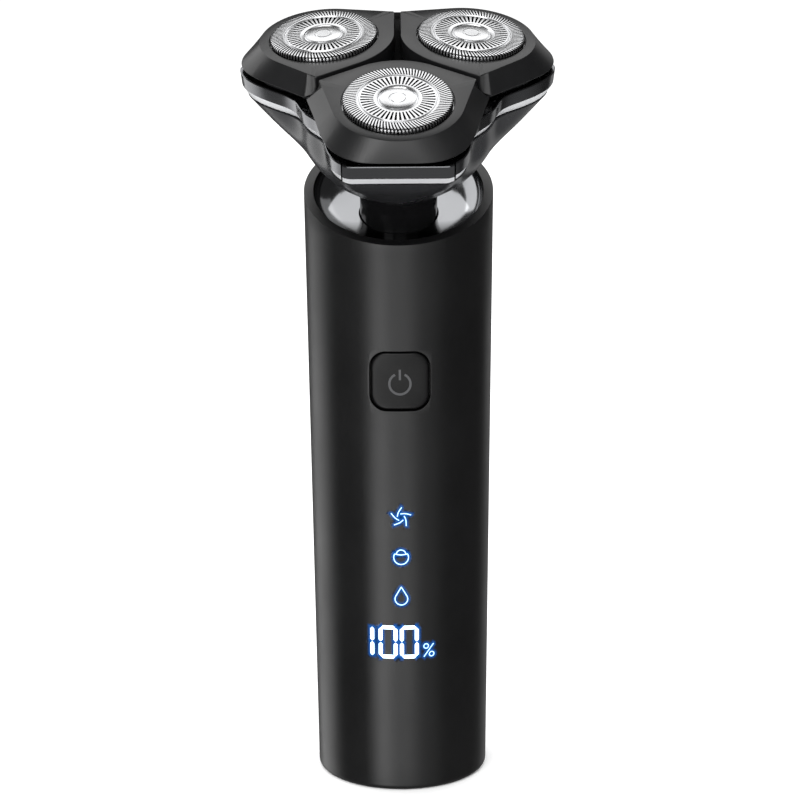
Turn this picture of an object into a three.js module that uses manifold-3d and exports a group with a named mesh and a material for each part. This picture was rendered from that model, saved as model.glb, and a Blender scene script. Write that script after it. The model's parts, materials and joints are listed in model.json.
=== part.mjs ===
// Electric shaver with three rotary cutters on a floating head.
// Millimetres, +Z up. The origin is the middle of the flat base, the front faces -Y.
// The head and the rim of the handle share one frame, tipped forward about X at the rim centre.
import * as THREE from 'three';
import { mergeVertices } from 'three/addons/utils/BufferGeometryUtils.js';
import Module from 'manifold-3d';

const wasm = await Module();
wasm.setup();

// ---------------------------------------------------------------- driving sizes
const DEG = Math.PI / 180;
const GAP = 0.3;                  // clearance between neighbouring pieces
const RUN_GAP = 0.25;             // radial clearance of a turning pin or shaft
const SINK = 0.1;                 // overlap that joins two solids into one

const BASE_R = 18.4;              // handle radius at the base
const TOP_R = 20.0;               // handle radius at the rim centre
const RIM_Z = 128;                // height of the rim centre
const HEAD_TILT = 23.3 * DEG;     // forward tilt of the rim and the head
const SHELL_WALL = 2.0;
const BASE_FILLET = 1.2;

const BUTTON_W = 12.6;            // power button across, and its corner radius
const BUTTON_CORNER = 3.2;
const BUTTON_Z = RIM_Z - 37;
const BUTTON_GAP = 0.35;
const BUTTON_TRAVEL = 0.5;

const DISPLAY_W = 16.8;           // lit panel behind the thinned shell wall
const DISPLAY_LOW = 27;
const DISPLAY_HIGH = 68;
const DISPLAY_SKIN = 0.8;         // shell wall left in front of the light guide

const BATTERY_R = 7.0;            // 14500 cell
const BATTERY_LENGTH = 50;
const BATTERY_Y = 5.5;
const BATTERY_Z = 12;
const BOARD_W = 18;
const BOARD_THICK = 1.2;
const BOARD_Y = -10.6;            // front face of the main board
const SWITCH_SIZE = 6;
const SWITCH_HEIGHT = 2.8;
const PLUNGER_R = 1.7;
const PLUNGER_OUT = 0.8;

const MOTOR_R = 8.5;
const MOTOR_LENGTH = 26;
const LINK_LOW_Z = RIM_Z - 17;    // lower ball of the drive link
const MOTOR_HIGH = LINK_LOW_Z - 7;
const MOTOR_LOW = MOTOR_HIGH - MOTOR_LENGTH;
const SHAFT_R = 1.0;
const BRACKET_THICK = 2.0;

const PIVOT_Z = 6;                // gimbal centre above the rim centre, along the head axis
const NECK_R = 8.2;
const NECK_TOP_R = NECK_R - 1.8;
const NECK_BORE_R = 4.4;
const PIN_R = 0.9;
const RING_THICK = 1.8;
const RING_HEIGHT = 3.2;
const BALL_R = 2.0;
const CUP_R = 3.4;
const LINK_R = 1.2;
const DISH_DEPTH = 5.2;
const DISH_THICK = 1.4;
const DISH_RIM = 0.6;             // collar edge below the rim plane

const CUTTER_H = 32.4;            // guard plane above the rim centre, along the head axis
const CUTTER_PITCH_R = 17.65;     // guard centres from the head axis
const GUARD_R = 11.0;
const PETAL_TILT = 4.8 * DEG;     // each petal leans outwards
const PETAL_DROP = 0.9;           // petal plate below the guard plane
const PETAL_THICK = 1.0;
const SKIRT_DROP = 4.5;           // lower edge of the petal bevel below the guard plane
const PETAL_WALL = 1.2;
const PETAL_GAP = 1.5;            // slot between two petals
const PLATE_ARC_R = GUARD_R + 2.4;       // petal plate around its guard
const SKIRT_FRONT = PLATE_ARC_R + 2.2;   // petal skirt: flat front, corner arc and slanted side
const SKIRT_ARC_R = PLATE_ARC_R + 4.2;
const SKIRT_SIDE = PLATE_ARC_R + 2.75;
const SKIRT_SIDE_ANGLE = 75.3 * DEG;

const TRIM_LOW = 20.6;            // chrome trim band of the head
const TRIM_HIGH = 25.4;
const TRIM_WALL = 2.0;
const TRIM_CHAMFER = 1.2;
const TAB_W = 22;                 // release tab in the front of the trim
const TAB_PROUD = 0.3;
const BOWL_LOW = 3.8;
const BOWL_WALL = 1.4;
const TREFOIL = [1.5807 * CUTTER_PITCH_R, 6.4, -0.9, -1.5];   // trim outline: cosine terms 0, 3, 6, 9

const SUN_TEETH = 12;
const PLANET_TEETH = 18;
const GEAR_LOW = 22.4;
const GEAR_THICK = 2.0;
const SPINDLE_DEPTH = 3.4;        // depth below the guard plane where spindle and cutter axes meet
const PLATE_THICK = 1.1;
const COVER_LOW = 26.2;
const HINGE_OUT = 3.5;            // hinge axis behind the trim
const HINGE_Z = 26.6;
const HINGE_SLOT = 2.2;           // half width between the hinge lugs
const HINGE_LUG = 2.0;
const HINGE_ARM = HINGE_SLOT - 0.3;
const HINGE_PIN_R = 0.75;
const HINGE_BARREL_R = 1.5;
const SCREW_R = 0.8;
const SCREW_HEAD_R = 1.6;
const SCREW_HEAD_H = 0.9;

// Facets round a turned piece, by its size.
const SMALL = 10;
const MEDIUM = 16;
const LARGE = 30;
const TUBE = 44;

const SPINDLE_R = CUTTER_PITCH_R - SPINDLE_DEPTH * Math.sin(PETAL_TILT);
const MODULE_MM = 2 * SPINDLE_R / (SUN_TEETH + PLANET_TEETH);
const PETALS = { front: -90 * DEG, right: 30 * DEG, left: 150 * DEG };

// ---------------------------------------------------------------- colours
const FINISH = {
  shell: [0x17181a, 0.42, 0.1],
  gloss: [0x1b1c1f, 0.15, 0.3],
  satin: [0x232427, 0.45, 0.1],
  chrome: [0x8d9196, 0.18, 1.0],
  steel: [0xd5d8dc, 0.25, 1.0],
  inner: [0x3a3d42, 0.6, 0.0],
  rubber: [0x141414, 0.85, 0.0],
  board: [0x0f5a34, 0.5, 0.0],
  brass: [0xb89a4a, 0.35, 1.0],
  gear: [0xe6e3da, 0.5, 0.0],
  cell: [0x2b5fa8, 0.4, 0.2],
  light: [0xdfefff, 0.3, 0.0],
};

// ---------------------------------------------------------------- solids
// A closed solid from a three.js geometry: vertices merged, slivers dropped, faces outwards.
function solid(geometry) {
  const bare = geometry.index ? geometry.toNonIndexed() : geometry.clone();
  bare.deleteAttribute('normal');
  bare.deleteAttribute('uv');
  const merged = mergeVertices(bare, 1e-4);
  const at = merged.attributes.position;
  const index = merged.index.array;
  const kept = [];
  let volume = 0;
  const a = new THREE.Vector3();
  const b = new THREE.Vector3();
  const c = new THREE.Vector3();
  for (let i = 0; i < index.length; i += 3) {
    const [p, q, r] = [index[i], index[i + 1], index[i + 2]];
    if (p === q || q === r || r === p) continue;
    kept.push(p, q, r);
    a.fromBufferAttribute(at, p);
    b.fromBufferAttribute(at, q);
    c.fromBufferAttribute(at, r);
    volume += a.dot(b.cross(c));
  }
  if (volume < 0) {
    for (let i = 0; i < kept.length; i += 3) {
      [kept[i], kept[i + 1]] = [kept[i + 1], kept[i]];
    }
  }
  const triVerts = new Uint32Array(kept);
  const vertProperties = new Float32Array(at.array);
  return new wasm.Manifold(new wasm.Mesh({ numProp: 3, vertProperties, triVerts }));
}

function geometryOf(body) {
  const mesh = body.getMesh();
  const geometry = new THREE.BufferGeometry();
  geometry.setAttribute('position', new THREE.BufferAttribute(mesh.vertProperties, 3));
  geometry.setIndex(new THREE.BufferAttribute(mesh.triVerts, 1));
  geometry.computeVertexNormals();
  return geometry;
}

function join(first, ...others) {
  return others.reduce((sum, next) => sum.add(next), first);
}

function cutFrom(first, ...tools) {
  return tools.reduce((rest, tool) => rest.subtract(tool), first);
}

// Solid of revolution about Z: points are [radius, z] in order round the closed section.
function lathe(points, segments = LARGE) {
  const closed = points.map(([r, z]) => new THREE.Vector2(r, z));
  closed.push(closed[0].clone());
  return new THREE.LatheGeometry(closed, segments).rotateX(Math.PI / 2);
}

// A ring whose radius changes with the angle: rows are [radius function, z] round the section.
function shapedRing(rows, segments) {
  const guide = rows.map((_, i) => new THREE.Vector2(10 + i, 0));
  guide.push(guide[0].clone());
  const geometry = new THREE.LatheGeometry(guide, segments);
  const at = geometry.attributes.position;
  const perTurn = rows.length + 1;
  for (let i = 0; i < at.count; i++) {
    const turn = (Math.floor(i / perTurn) % segments) * 2 * Math.PI / segments;
    const [radius, z] = rows[(i % perTurn) % rows.length];
    const r = radius(turn);
    at.setXYZ(i, r * Math.cos(turn), r * Math.sin(turn), z);
  }
  return geometry;
}

function cylinder(radius, low, high, x = 0, y = 0, segments = MEDIUM) {
  const geometry = new THREE.CylinderGeometry(radius, radius, high - low, segments);
  return solid(geometry.rotateX(Math.PI / 2).translate(x, y, (low + high) / 2));
}

// Round bar along X or Y between two coordinates.
function crossBar(axis, radius, from, to, across, z, segments = SMALL) {
  const geometry = new THREE.CylinderGeometry(radius, radius, to - from, segments);
  const middle = (from + to) / 2;
  if (axis === 'x') {
    geometry.rotateZ(Math.PI / 2).translate(middle, across, z);
  } else {
    geometry.translate(across, middle, z);
  }
  return solid(geometry);
}

// Box given by its lowest and highest corners.
function block(low, high) {
  const size = high.map((value, i) => value - low[i]);
  const geometry = new THREE.BoxGeometry(...size);
  return solid(geometry.translate(...low.map((value, i) => value + size[i] / 2)));
}

// Lower and higher of two distances, taken to the left (-1) or the right (1).
function between(side, near, far) {
  return [side * near, side * far].sort((p, q) => p - q);
}

function roundedRect(width, height, corner) {
  const [x, y] = [width / 2, height / 2];
  const shape = new THREE.Shape();
  shape.moveTo(-x + corner, -y);
  shape.lineTo(x - corner, -y);
  shape.absarc(x - corner, -y + corner, corner, -Math.PI / 2, 0);
  shape.absarc(x - corner, y - corner, corner, 0, Math.PI / 2);
  shape.absarc(-x + corner, y - corner, corner, Math.PI / 2, Math.PI);
  shape.absarc(-x + corner, -y + corner, corner, Math.PI, 1.5 * Math.PI);
  shape.closePath();
  return shape;
}

function prism(shape, low, high, curveSegments = 3) {
  const options = { depth: high - low, bevelEnabled: false, curveSegments };
  return new THREE.ExtrudeGeometry(shape, options).translate(0, 0, low);
}

// Prism of a shape standing in the XZ plane, between two Y values.
function frontPrism(shape, z, fromY, toY) {
  return solid(prism(shape, -toY, -fromY).rotateX(Math.PI / 2).translate(0, 0, z));
}

function polarShape(radius, count) {
  const points = [];
  for (let i = 0; i < count; i++) {
    const turn = i * 2 * Math.PI / count;
    points.push(new THREE.Vector2(radius(turn) * Math.cos(turn), radius(turn) * Math.sin(turn)));
  }
  return new THREE.Shape(points);
}

// Screw from its tip to the outer face of its head, pointing up or down.
function screw(tip, face, x, y) {
  const neck = face - Math.sign(face - tip) * SCREW_HEAD_H;
  const middle = (face + neck) / 2;
  const cap = cylinder(SCREW_HEAD_R, Math.min(neck, face), Math.max(neck, face), x, y, SMALL);
  return join(cap, cylinder(SCREW_R, Math.min(tip, middle), Math.max(tip, middle), x, y, SMALL));
}

// ---------------------------------------------------------------- scene graph
const shaver = new THREE.Group();
const head = new THREE.Group();
head.position.set(0, 0, RIM_Z);
head.rotation.x = HEAD_TILT;
shaver.add(head);

const petalGroups = {};
for (const [side, angle] of Object.entries(PETALS)) {
  const group = new THREE.Group();
  group.position.set(CUTTER_PITCH_R * Math.cos(angle), CUTTER_PITCH_R * Math.sin(angle), CUTTER_H);
  group.rotation.set(0, PETAL_TILT, angle, 'ZYX');
  petalGroups[side] = group;
  head.add(group);
}

function place(parent, name, body, finish) {
  const [color, roughness, metalness] = FINISH[finish];
  const material = new THREE.MeshStandardMaterial({ color, roughness, metalness });
  const mesh = new THREE.Mesh(geometryOf(body), material);
  mesh.name = name;
  parent.add(mesh);
  return mesh;
}

// ---------------------------------------------------------------- handle
const shellR = (z) => BASE_R + (TOP_R - BASE_R) * z / RIM_Z;
const innerR = (z) => shellR(z) - SHELL_WALL;
const TUBE_TOP = RIM_Z + TOP_R;

// Tapered solid that follows the handle, with its radius moved by an offset.
function handleCone(offset, low = -2, high = TUBE_TOP) {
  return solid(lathe([[0, low], [shellR(low) + offset, low], [shellR(high) + offset, high], [0, high]],
    TUBE));
}

// Everything above the slanted rim plane.
function aboveRim(lift = 0) {
  const reach = 4 * TOP_R;
  const geometry = new THREE.BoxGeometry(reach, reach, reach).translate(0, 0, reach / 2 + lift);
  return solid(geometry.rotateX(HEAD_TILT).translate(0, 0, RIM_Z));
}

function handleShell() {
  const f = BASE_FILLET;
  const section = [
    [innerR(0), 0], [shellR(0) - f, 0], [shellR(0) - f * 0.3, f * 0.3], [shellR(f), f],
    [shellR(TUBE_TOP), TUBE_TOP], [innerR(TUBE_TOP), TUBE_TOP],
  ];
  const opening = frontPrism(roundedRect(BUTTON_W + 2 * BUTTON_GAP, BUTTON_W + 2 * BUTTON_GAP,
    BUTTON_CORNER + BUTTON_GAP), BUTTON_Z, -TOP_R - 2, -TOP_R / 2);
  const window = block([-DISPLAY_W / 2, -TOP_R, DISPLAY_LOW], [DISPLAY_W / 2, -TOP_R / 2, DISPLAY_HIGH]);
  const pocket = handleCone(-DISPLAY_SKIN, 0, RIM_Z).intersect(window);
  return cutFrom(solid(lathe(section, TUBE)), aboveRim(), opening, pocket);
}

function neckCollar() {
  const steps = 5;
  const top = [];
  for (let i = 0; i <= steps; i++) {
    const turn = i / steps * Math.PI / 2;
    const r = NECK_R + GAP + (innerR(RIM_Z) - NECK_R - GAP) * Math.sin(turn);
    top.push([r, -DISH_RIM - DISH_DEPTH * Math.cos(turn)]);
  }
  const outer = TOP_R + 2;
  const under = top.map(([r, z]) => [r, z - DISH_THICK]).reverse();
  const dish = lathe([...top, [outer, -DISH_RIM], [outer, -DISH_RIM - DISH_THICK], ...under]);
  dish.scale(1, 1 / Math.cos(HEAD_TILT), 1).rotateX(HEAD_TILT).translate(0, 0, RIM_Z);
  const hole = lathe([[0, -20], [NECK_R + GAP, -20], [NECK_R + GAP, 5], [0, 5]]);
  hole.rotateX(HEAD_TILT).translate(0, 0, RIM_Z);
  return solid(dish).intersect(handleCone(-SHELL_WALL - GAP / 2, BUTTON_Z)).subtract(solid(hole));
}

place(shaver, 'handle_shell', handleShell(), 'shell');
place(shaver, 'neck_collar', neckCollar(), 'gloss');

// Base: cap with the charging socket, its seals and screws.
const CAP_R = BASE_R - SHELL_WALL - GAP;
const CAP_FLOOR = 2.4;
const CAP_TOP = 5;
const PORT_Y = 9;
const PORT_W = 8.9;
const PORT_H = 3.2;
const PORT_TOP = 7.3;
const CAP_SCREW_X = 10.5;
const FRAME_LOW = 9;
const CAP_SCREW_TOP = 13;
const CAP_SINK = 1.3;             // depth of the counterbores
const CAP_WALL = 1.5;
const SEAL_WIDTH = 1.1;
const SEAL_HEIGHT = 0.9;
const PORT_WALL = 0.35;
const TONGUE_HALF = 3.3;          // contact tongue in the socket
const TONGUE_LOW = 1.2;
const CHARGE_BOARD_HALF = [7, 4];

function portPrism(grow, low, high) {
  const shape = roundedRect(PORT_W + 2 * grow, PORT_H + 2 * grow, (PORT_H + 2 * grow) / 2 - 0.05);
  return solid(prism(shape, low, high).translate(0, PORT_Y, 0));
}

const capScrewHoles = [-1, 1].map((side) => join(
  cylinder(SCREW_R + RUN_GAP, -1, CAP_TOP, side * CAP_SCREW_X, 0, SMALL),
  cylinder(SCREW_HEAD_R + RUN_GAP, -1, CAP_SINK, side * CAP_SCREW_X, 0, SMALL)));
const capBody = solid(lathe([[0, 0], [CAP_R, 0], [CAP_R, CAP_TOP], [CAP_R - CAP_WALL, CAP_TOP],
  [CAP_R - CAP_WALL, CAP_FLOOR], [0, CAP_FLOOR]]));
place(shaver, 'bottom_cap', cutFrom(capBody, portPrism(GAP, -1, CAP_TOP), ...capScrewHoles), 'shell');
const baseSealLow = CAP_TOP + GAP;
place(shaver, 'base_seal', solid(lathe([[CAP_R - SEAL_WIDTH, baseSealLow], [CAP_R, baseSealLow],
  [CAP_R, baseSealLow + SEAL_HEIGHT], [CAP_R - SEAL_WIDTH, baseSealLow + SEAL_HEIGHT]])), 'rubber');
place(shaver, 'charging_port', join(
  portPrism(0, GAP, PORT_TOP).subtract(portPrism(-PORT_WALL, 0, PORT_TOP - 2 * PORT_WALL - SINK)),
  block([-TONGUE_HALF, PORT_Y - PORT_WALL, TONGUE_LOW],
    [TONGUE_HALF, PORT_Y + PORT_WALL, PORT_TOP - PORT_WALL])), 'steel');
place(shaver, 'port_seal', portPrism(1.6, CAP_FLOOR + GAP / 2, CAP_FLOOR + 1.4)
  .subtract(portPrism(0.15, 0, CAP_TOP)), 'rubber');
const chargeBoardLow = PORT_TOP + GAP / 2;
place(shaver, 'charge_board', block(
  [-CHARGE_BOARD_HALF[0], PORT_Y - CHARGE_BOARD_HALF[1], chargeBoardLow],
  [CHARGE_BOARD_HALF[0], PORT_Y + CHARGE_BOARD_HALF[1], chargeBoardLow + BOARD_THICK * 0.8]), 'board');
[-1, 1].forEach((side, i) => {
  const body = screw(CAP_SCREW_TOP - 1, CAP_SINK - SCREW_HEAD_H - 0.15, side * CAP_SCREW_X, 0);
  place(shaver, `cap_screw_${i + 1}`, body, 'steel');
});

// Inner frame: half tube with ribs that hold the cell and the boards.
const FRAME_HIGH = MOTOR_LOW + 22;
const FRAME_R = Math.min(innerR(0), innerR(FRAME_HIGH)) - 2 * GAP;
const FRAME_WALL = 1.4;
const RIB_THICK = 1.5;
const RIB_MIDDLE = BATTERY_Z + BATTERY_LENGTH / 2 - RIB_THICK / 2;
const RIB_TOP = BATTERY_Z + BATTERY_LENGTH + 2;

function innerFrame() {
  const tube = solid(lathe([[FRAME_R - FRAME_WALL, FRAME_LOW], [FRAME_R, FRAME_LOW],
    [FRAME_R, FRAME_HIGH], [FRAME_R - FRAME_WALL, FRAME_HIGH]]));
  const back = block([-BASE_R, 0, 0], [BASE_R, BASE_R, FRAME_HIGH + 1]);
  const behindBoard = block([-BASE_R, BOARD_Y + BOARD_THICK + GAP, 0], [BASE_R, BASE_R, FRAME_HIGH]);
  const rib = (low) => cylinder(FRAME_R - 0.5, low, low + RIB_THICK, 0, 0, LARGE).intersect(behindBoard);
  const cell = cylinder(BATTERY_R + GAP, BATTERY_Z, BATTERY_Z + BATTERY_LENGTH, 0, BATTERY_Y, MEDIUM);
  const posts = [-1, 1].map((side) =>
    cylinder(2.4, FRAME_LOW, FRAME_LOW + 8, side * CAP_SCREW_X, 0, SMALL));
  const holes = [-1, 1].map((side) =>
    cylinder(SCREW_R + RUN_GAP, 0, CAP_SCREW_TOP + 1, side * CAP_SCREW_X, 0, SMALL));
  const whole = join(tube.intersect(back), rib(FRAME_LOW), rib(RIB_MIDDLE), rib(RIB_TOP), ...posts);
  return cutFrom(whole, cell, ...holes);
}

place(shaver, 'inner_frame', innerFrame(), 'inner');
place(shaver, 'battery_cell', solid(lathe([[0, BATTERY_Z], [BATTERY_R, BATTERY_Z],
  [BATTERY_R, BATTERY_Z + BATTERY_LENGTH - 1], [2.6, BATTERY_Z + BATTERY_LENGTH - 1],
  [2.6, BATTERY_Z + BATTERY_LENGTH], [0, BATTERY_Z + BATTERY_LENGTH]], MEDIUM)
  .translate(0, BATTERY_Y, 0)), 'cell');
const TAB_THICK = 0.3;
const tabSpots = { battery_tab_top: BATTERY_Z + BATTERY_LENGTH + GAP,
  battery_tab_bottom: BATTERY_Z - GAP - TAB_THICK };
for (const [name, low] of Object.entries(tabSpots)) {
  place(shaver, name, block([-2.5, BOARD_Y + BOARD_THICK + 2 * GAP, low],
    [2.5, BATTERY_Y + 3, low + TAB_THICK]), 'steel');
}

// Boards, switch and display.
const BOARD_LOW = 12;
const BOARD_HIGH = FRAME_HIGH - 1;
const CHIPS = [                   // left, low, width, height and thickness
  [-3.5, BUTTON_Z - 19, 7, 7, 1],
  [3, 16, 4, 6, 1.4],
];
const chips = CHIPS.map(([left, low, width, height, thick]) =>
  block([left, BOARD_Y - thick, low], [left + width, BOARD_Y + SINK, low + height]));
place(shaver, 'main_board', join(
  block([-BOARD_W / 2, BOARD_Y, BOARD_LOW], [BOARD_W / 2, BOARD_Y + BOARD_THICK, BOARD_HIGH]),
  ...chips), 'board');
place(shaver, 'button_switch', join(
  block([-SWITCH_SIZE / 2, BOARD_Y - SWITCH_HEIGHT + PLUNGER_OUT, BUTTON_Z - SWITCH_SIZE / 2],
    [SWITCH_SIZE / 2, BOARD_Y - SINK, BUTTON_Z + SWITCH_SIZE / 2]),
  crossBar('y', PLUNGER_R, BOARD_Y - SWITCH_HEIGHT, BOARD_Y - 1, 0, BUTTON_Z)), 'inner');
const DISPLAY_BOARD_Y = -13.0;
place(shaver, 'display_board', block([-DISPLAY_W / 2 + GAP, DISPLAY_BOARD_Y, DISPLAY_LOW + GAP],
  [DISPLAY_W / 2 - GAP, DISPLAY_BOARD_Y + BOARD_THICK, DISPLAY_HIGH - GAP]), 'board');
place(shaver, 'light_guide', handleCone(-DISPLAY_SKIN - GAP, 0, RIM_Z).intersect(
  block([-DISPLAY_W / 2 + GAP, -TOP_R, DISPLAY_LOW + GAP],
    [DISPLAY_W / 2 - GAP, DISPLAY_BOARD_Y - GAP, DISPLAY_HIGH - GAP])), 'light');

// Power button with its flange and stem, and the seal behind it.
const FLANGE_BACK = 2.54;         // flange front behind the inner wall, clear of its curve
const FLANGE_Y = FLANGE_BACK - innerR(BUTTON_Z);
const FLANGE_THICK = 0.8;
const STEM_R = 2;
const FLANGE_W = BUTTON_W + 1.8;
const STEM_END = BOARD_Y - SWITCH_HEIGHT - BUTTON_TRAVEL - 0.1;

function powerButton() {
  const face = frontPrism(roundedRect(BUTTON_W, BUTTON_W, BUTTON_CORNER), BUTTON_Z,
    -TOP_R - 2, FLANGE_Y + FLANGE_THICK / 2);
  const flange = frontPrism(roundedRect(FLANGE_W, FLANGE_W, BUTTON_CORNER + 0.9), BUTTON_Z,
    FLANGE_Y, FLANGE_Y + FLANGE_THICK);
  const stem = crossBar('y', STEM_R, FLANGE_Y, STEM_END, 0, BUTTON_Z);
  return join(face.intersect(handleCone(-GAP / 2, BUTTON_Z - BUTTON_W, BUTTON_Z + BUTTON_W)), flange, stem);
}

place(shaver, 'power_button', powerButton(), 'satin');
const SEAL_FRONT = FLANGE_Y + FLANGE_THICK + BUTTON_TRAVEL + 0.1;
const SEAL_THICK = 0.5;
const SEAL_W = FLANGE_W + 2.6;
const SEAL_HOLE = BUTTON_W - 3.6;
place(shaver, 'button_seal', frontPrism(roundedRect(SEAL_W, SEAL_W, BUTTON_CORNER + 0.8), BUTTON_Z,
  SEAL_FRONT, SEAL_FRONT + SEAL_THICK).subtract(
  frontPrism(roundedRect(SEAL_HOLE, SEAL_HOLE, STEM_R), BUTTON_Z, -TOP_R, 0)), 'rubber');

// Motor, its bracket and screws, and the turning shaft with the lower cup.
const BRACKET_LOW = MOTOR_HIGH + GAP;
const BRACKET_HIGH = BRACKET_LOW + BRACKET_THICK;
const BRACKET_SCREW_X = 5.8;
const CUP_LOW = BRACKET_HIGH + 0.7;
const BALL_GAP = 0.4;             // room under a ball in its cup
const CUP_BORE_R = BALL_R + 0.5;
const CUP_LIP = 1.3;              // cup edge past the middle of its ball
const CUP_FLOOR = LINK_LOW_Z - BALL_R - BALL_GAP;
const MOTOR_BOSS_R = 3;
const MOTOR_BOSS_H = 1.5;

const bracketHoles = [-1, 1].map((side) =>
  cylinder(SCREW_R + RUN_GAP, MOTOR_HIGH - 3, BRACKET_HIGH + 1, side * BRACKET_SCREW_X, 0, SMALL));
place(shaver, 'motor_can', cutFrom(solid(lathe([[0, MOTOR_LOW - MOTOR_BOSS_H],
  [MOTOR_BOSS_R, MOTOR_LOW - MOTOR_BOSS_H], [MOTOR_BOSS_R, MOTOR_LOW], [MOTOR_R, MOTOR_LOW],
  [MOTOR_R, MOTOR_HIGH], [0, MOTOR_HIGH]])),
  cylinder(SHAFT_R + RUN_GAP, MOTOR_HIGH - 8, MOTOR_HIGH + 1), ...bracketHoles), 'steel');
place(shaver, 'motor_bracket', cutFrom(cylinder(innerR(BRACKET_LOW) - GAP, BRACKET_LOW, BRACKET_HIGH,
  0, 0, LARGE), cylinder(CUP_R + GAP, BRACKET_LOW - 1, BRACKET_HIGH + 1), ...bracketHoles), 'inner');
[-1, 1].forEach((side, i) => {
  place(shaver, `bracket_screw_${i + 1}`,
    screw(MOTOR_HIGH - 2.5, BRACKET_HIGH + 1.2, side * BRACKET_SCREW_X, 0), 'steel');
});
place(shaver, 'motor_shaft', cylinder(SHAFT_R, MOTOR_HIGH - 7, CUP_FLOOR - 0.2, 0, 0, SMALL), 'steel');
place(shaver, 'drive_cup', solid(lathe([[SHAFT_R + 0.15, CUP_LOW], [CUP_R, CUP_LOW],
  [CUP_R, LINK_LOW_Z + CUP_LIP], [CUP_BORE_R, LINK_LOW_Z + CUP_LIP], [CUP_BORE_R, CUP_FLOOR],
  [SHAFT_R + 0.15, CUP_FLOOR]], MEDIUM)), 'brass');

// Drive link: a bar with a ball at each end, from the motor cup to the gimbal centre.
const pivotY = -PIVOT_Z * Math.sin(HEAD_TILT);
const pivotZ = RIM_Z + PIVOT_Z * Math.cos(HEAD_TILT);
const linkLength = Math.hypot(pivotY, pivotZ - LINK_LOW_Z);
const linkLean = Math.atan2(-pivotY, pivotZ - LINK_LOW_Z);
const ball = (z) => solid(new THREE.SphereGeometry(BALL_R, 12, 7).rotateX(Math.PI / 2).translate(0, 0, z));
const link = place(shaver, 'drive_link', join(cylinder(LINK_R, 0, linkLength, 0, 0, SMALL), ball(0),
  ball(linkLength)), 'steel');
link.position.z = LINK_LOW_Z;
link.rotation.x = linkLean;

// ---------------------------------------------------------------- neck and gimbal
const NECK_LOW = -11;
const NECK_FOOT = 1.4;            // foot of the post and the cone above it
const NECK_FOOT_R = NECK_R + 2.6;
const NECK_SHOULDER = 2;
const NECK_TOP = PIVOT_Z + 2;
const NECK_SEAL = [0.2, 1.8];     // seal from the post outwards
const RING_INNER = NECK_TOP_R + 0.5;
const RING_OUTER = RING_INNER + RING_THICK;
const PIN_HOLE = PIN_R + RUN_GAP;
const LUG_IN = RING_OUTER + 0.6;
const LUG_OUT = LUG_IN + 2;
const LUG_HALF = 2.4;

function neckPost() {
  const section = [
    [NECK_BORE_R, NECK_TOP], [NECK_BORE_R, -2], [NECK_BORE_R + 3.2, NECK_LOW],
    [NECK_FOOT_R, NECK_LOW], [NECK_FOOT_R, NECK_LOW + NECK_FOOT],
    [NECK_R, NECK_LOW + 2 * NECK_FOOT], [NECK_R, NECK_SHOULDER],
    [NECK_TOP_R, NECK_SHOULDER], [NECK_TOP_R, NECK_TOP],
  ];
  const pins = [-1, 1].map((side) => {
    const ends = between(side, NECK_TOP_R - 0.6, RING_OUTER - 0.2);
    return crossBar('x', PIN_R, ends[0], ends[1], 0, PIVOT_Z);
  });
  return join(solid(lathe(section)), ...pins);
}

function gimbalRing() {
  const [low, high] = [PIVOT_Z - RING_HEIGHT / 2, PIVOT_Z + RING_HEIGHT / 2];
  const ring = solid(lathe([[RING_INNER, low], [RING_OUTER, low], [RING_OUTER, high],
    [RING_INNER, high]]));
  const pins = [-1, 1].map((side) => {
    const ends = between(side, RING_OUTER - 0.5, LUG_OUT - 0.3);
    return crossBar('y', PIN_R, ends[0], ends[1], 0, PIVOT_Z);
  });
  const holes = crossBar('x', PIN_HOLE, -RING_OUTER - 1, RING_OUTER + 1, 0, PIVOT_Z);
  return join(ring.subtract(holes), ...pins);
}

place(head, 'neck_post', neckPost(), 'gloss');
const neckSealLow = NECK_LOW + 2 * NECK_FOOT + 0.1;
const neckSealHigh = neckSealLow + 0.7;
const [sealIn, sealOut] = NECK_SEAL.map((out) => NECK_R + out);
place(head, 'neck_seal', solid(lathe([[sealIn, neckSealLow], [sealOut, neckSealLow],
  [sealOut, neckSealHigh], [sealIn, neckSealHigh]])), 'rubber');
place(head, 'gimbal_ring', gimbalRing(), 'steel');

// ---------------------------------------------------------------- head housing
// Three-lobed outline: a lobe points at each petal.
function trefoil(angle, inset = 0) {
  const turn = angle + Math.PI / 2;
  const [mean, third, sixth, ninth] = TREFOIL;
  const wave = third * Math.cos(3 * turn) + sixth * Math.cos(6 * turn) + ninth * Math.cos(9 * turn);
  return mean + wave - inset;
}

const LOBE_R = trefoil(PETALS.front);
const BOWL_TOP = TRIM_LOW - GAP;
const BOWL_ROUND = 6.6;           // below this height the bowl is round

function bowlRow(r, z) {
  const share = Math.min(1, Math.max(0, (z - BOWL_ROUND) / (BOWL_TOP - BOWL_ROUND)));
  return [(angle) => r * (1 + share * (trefoil(angle) / LOBE_R - 1)), z];
}

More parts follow.
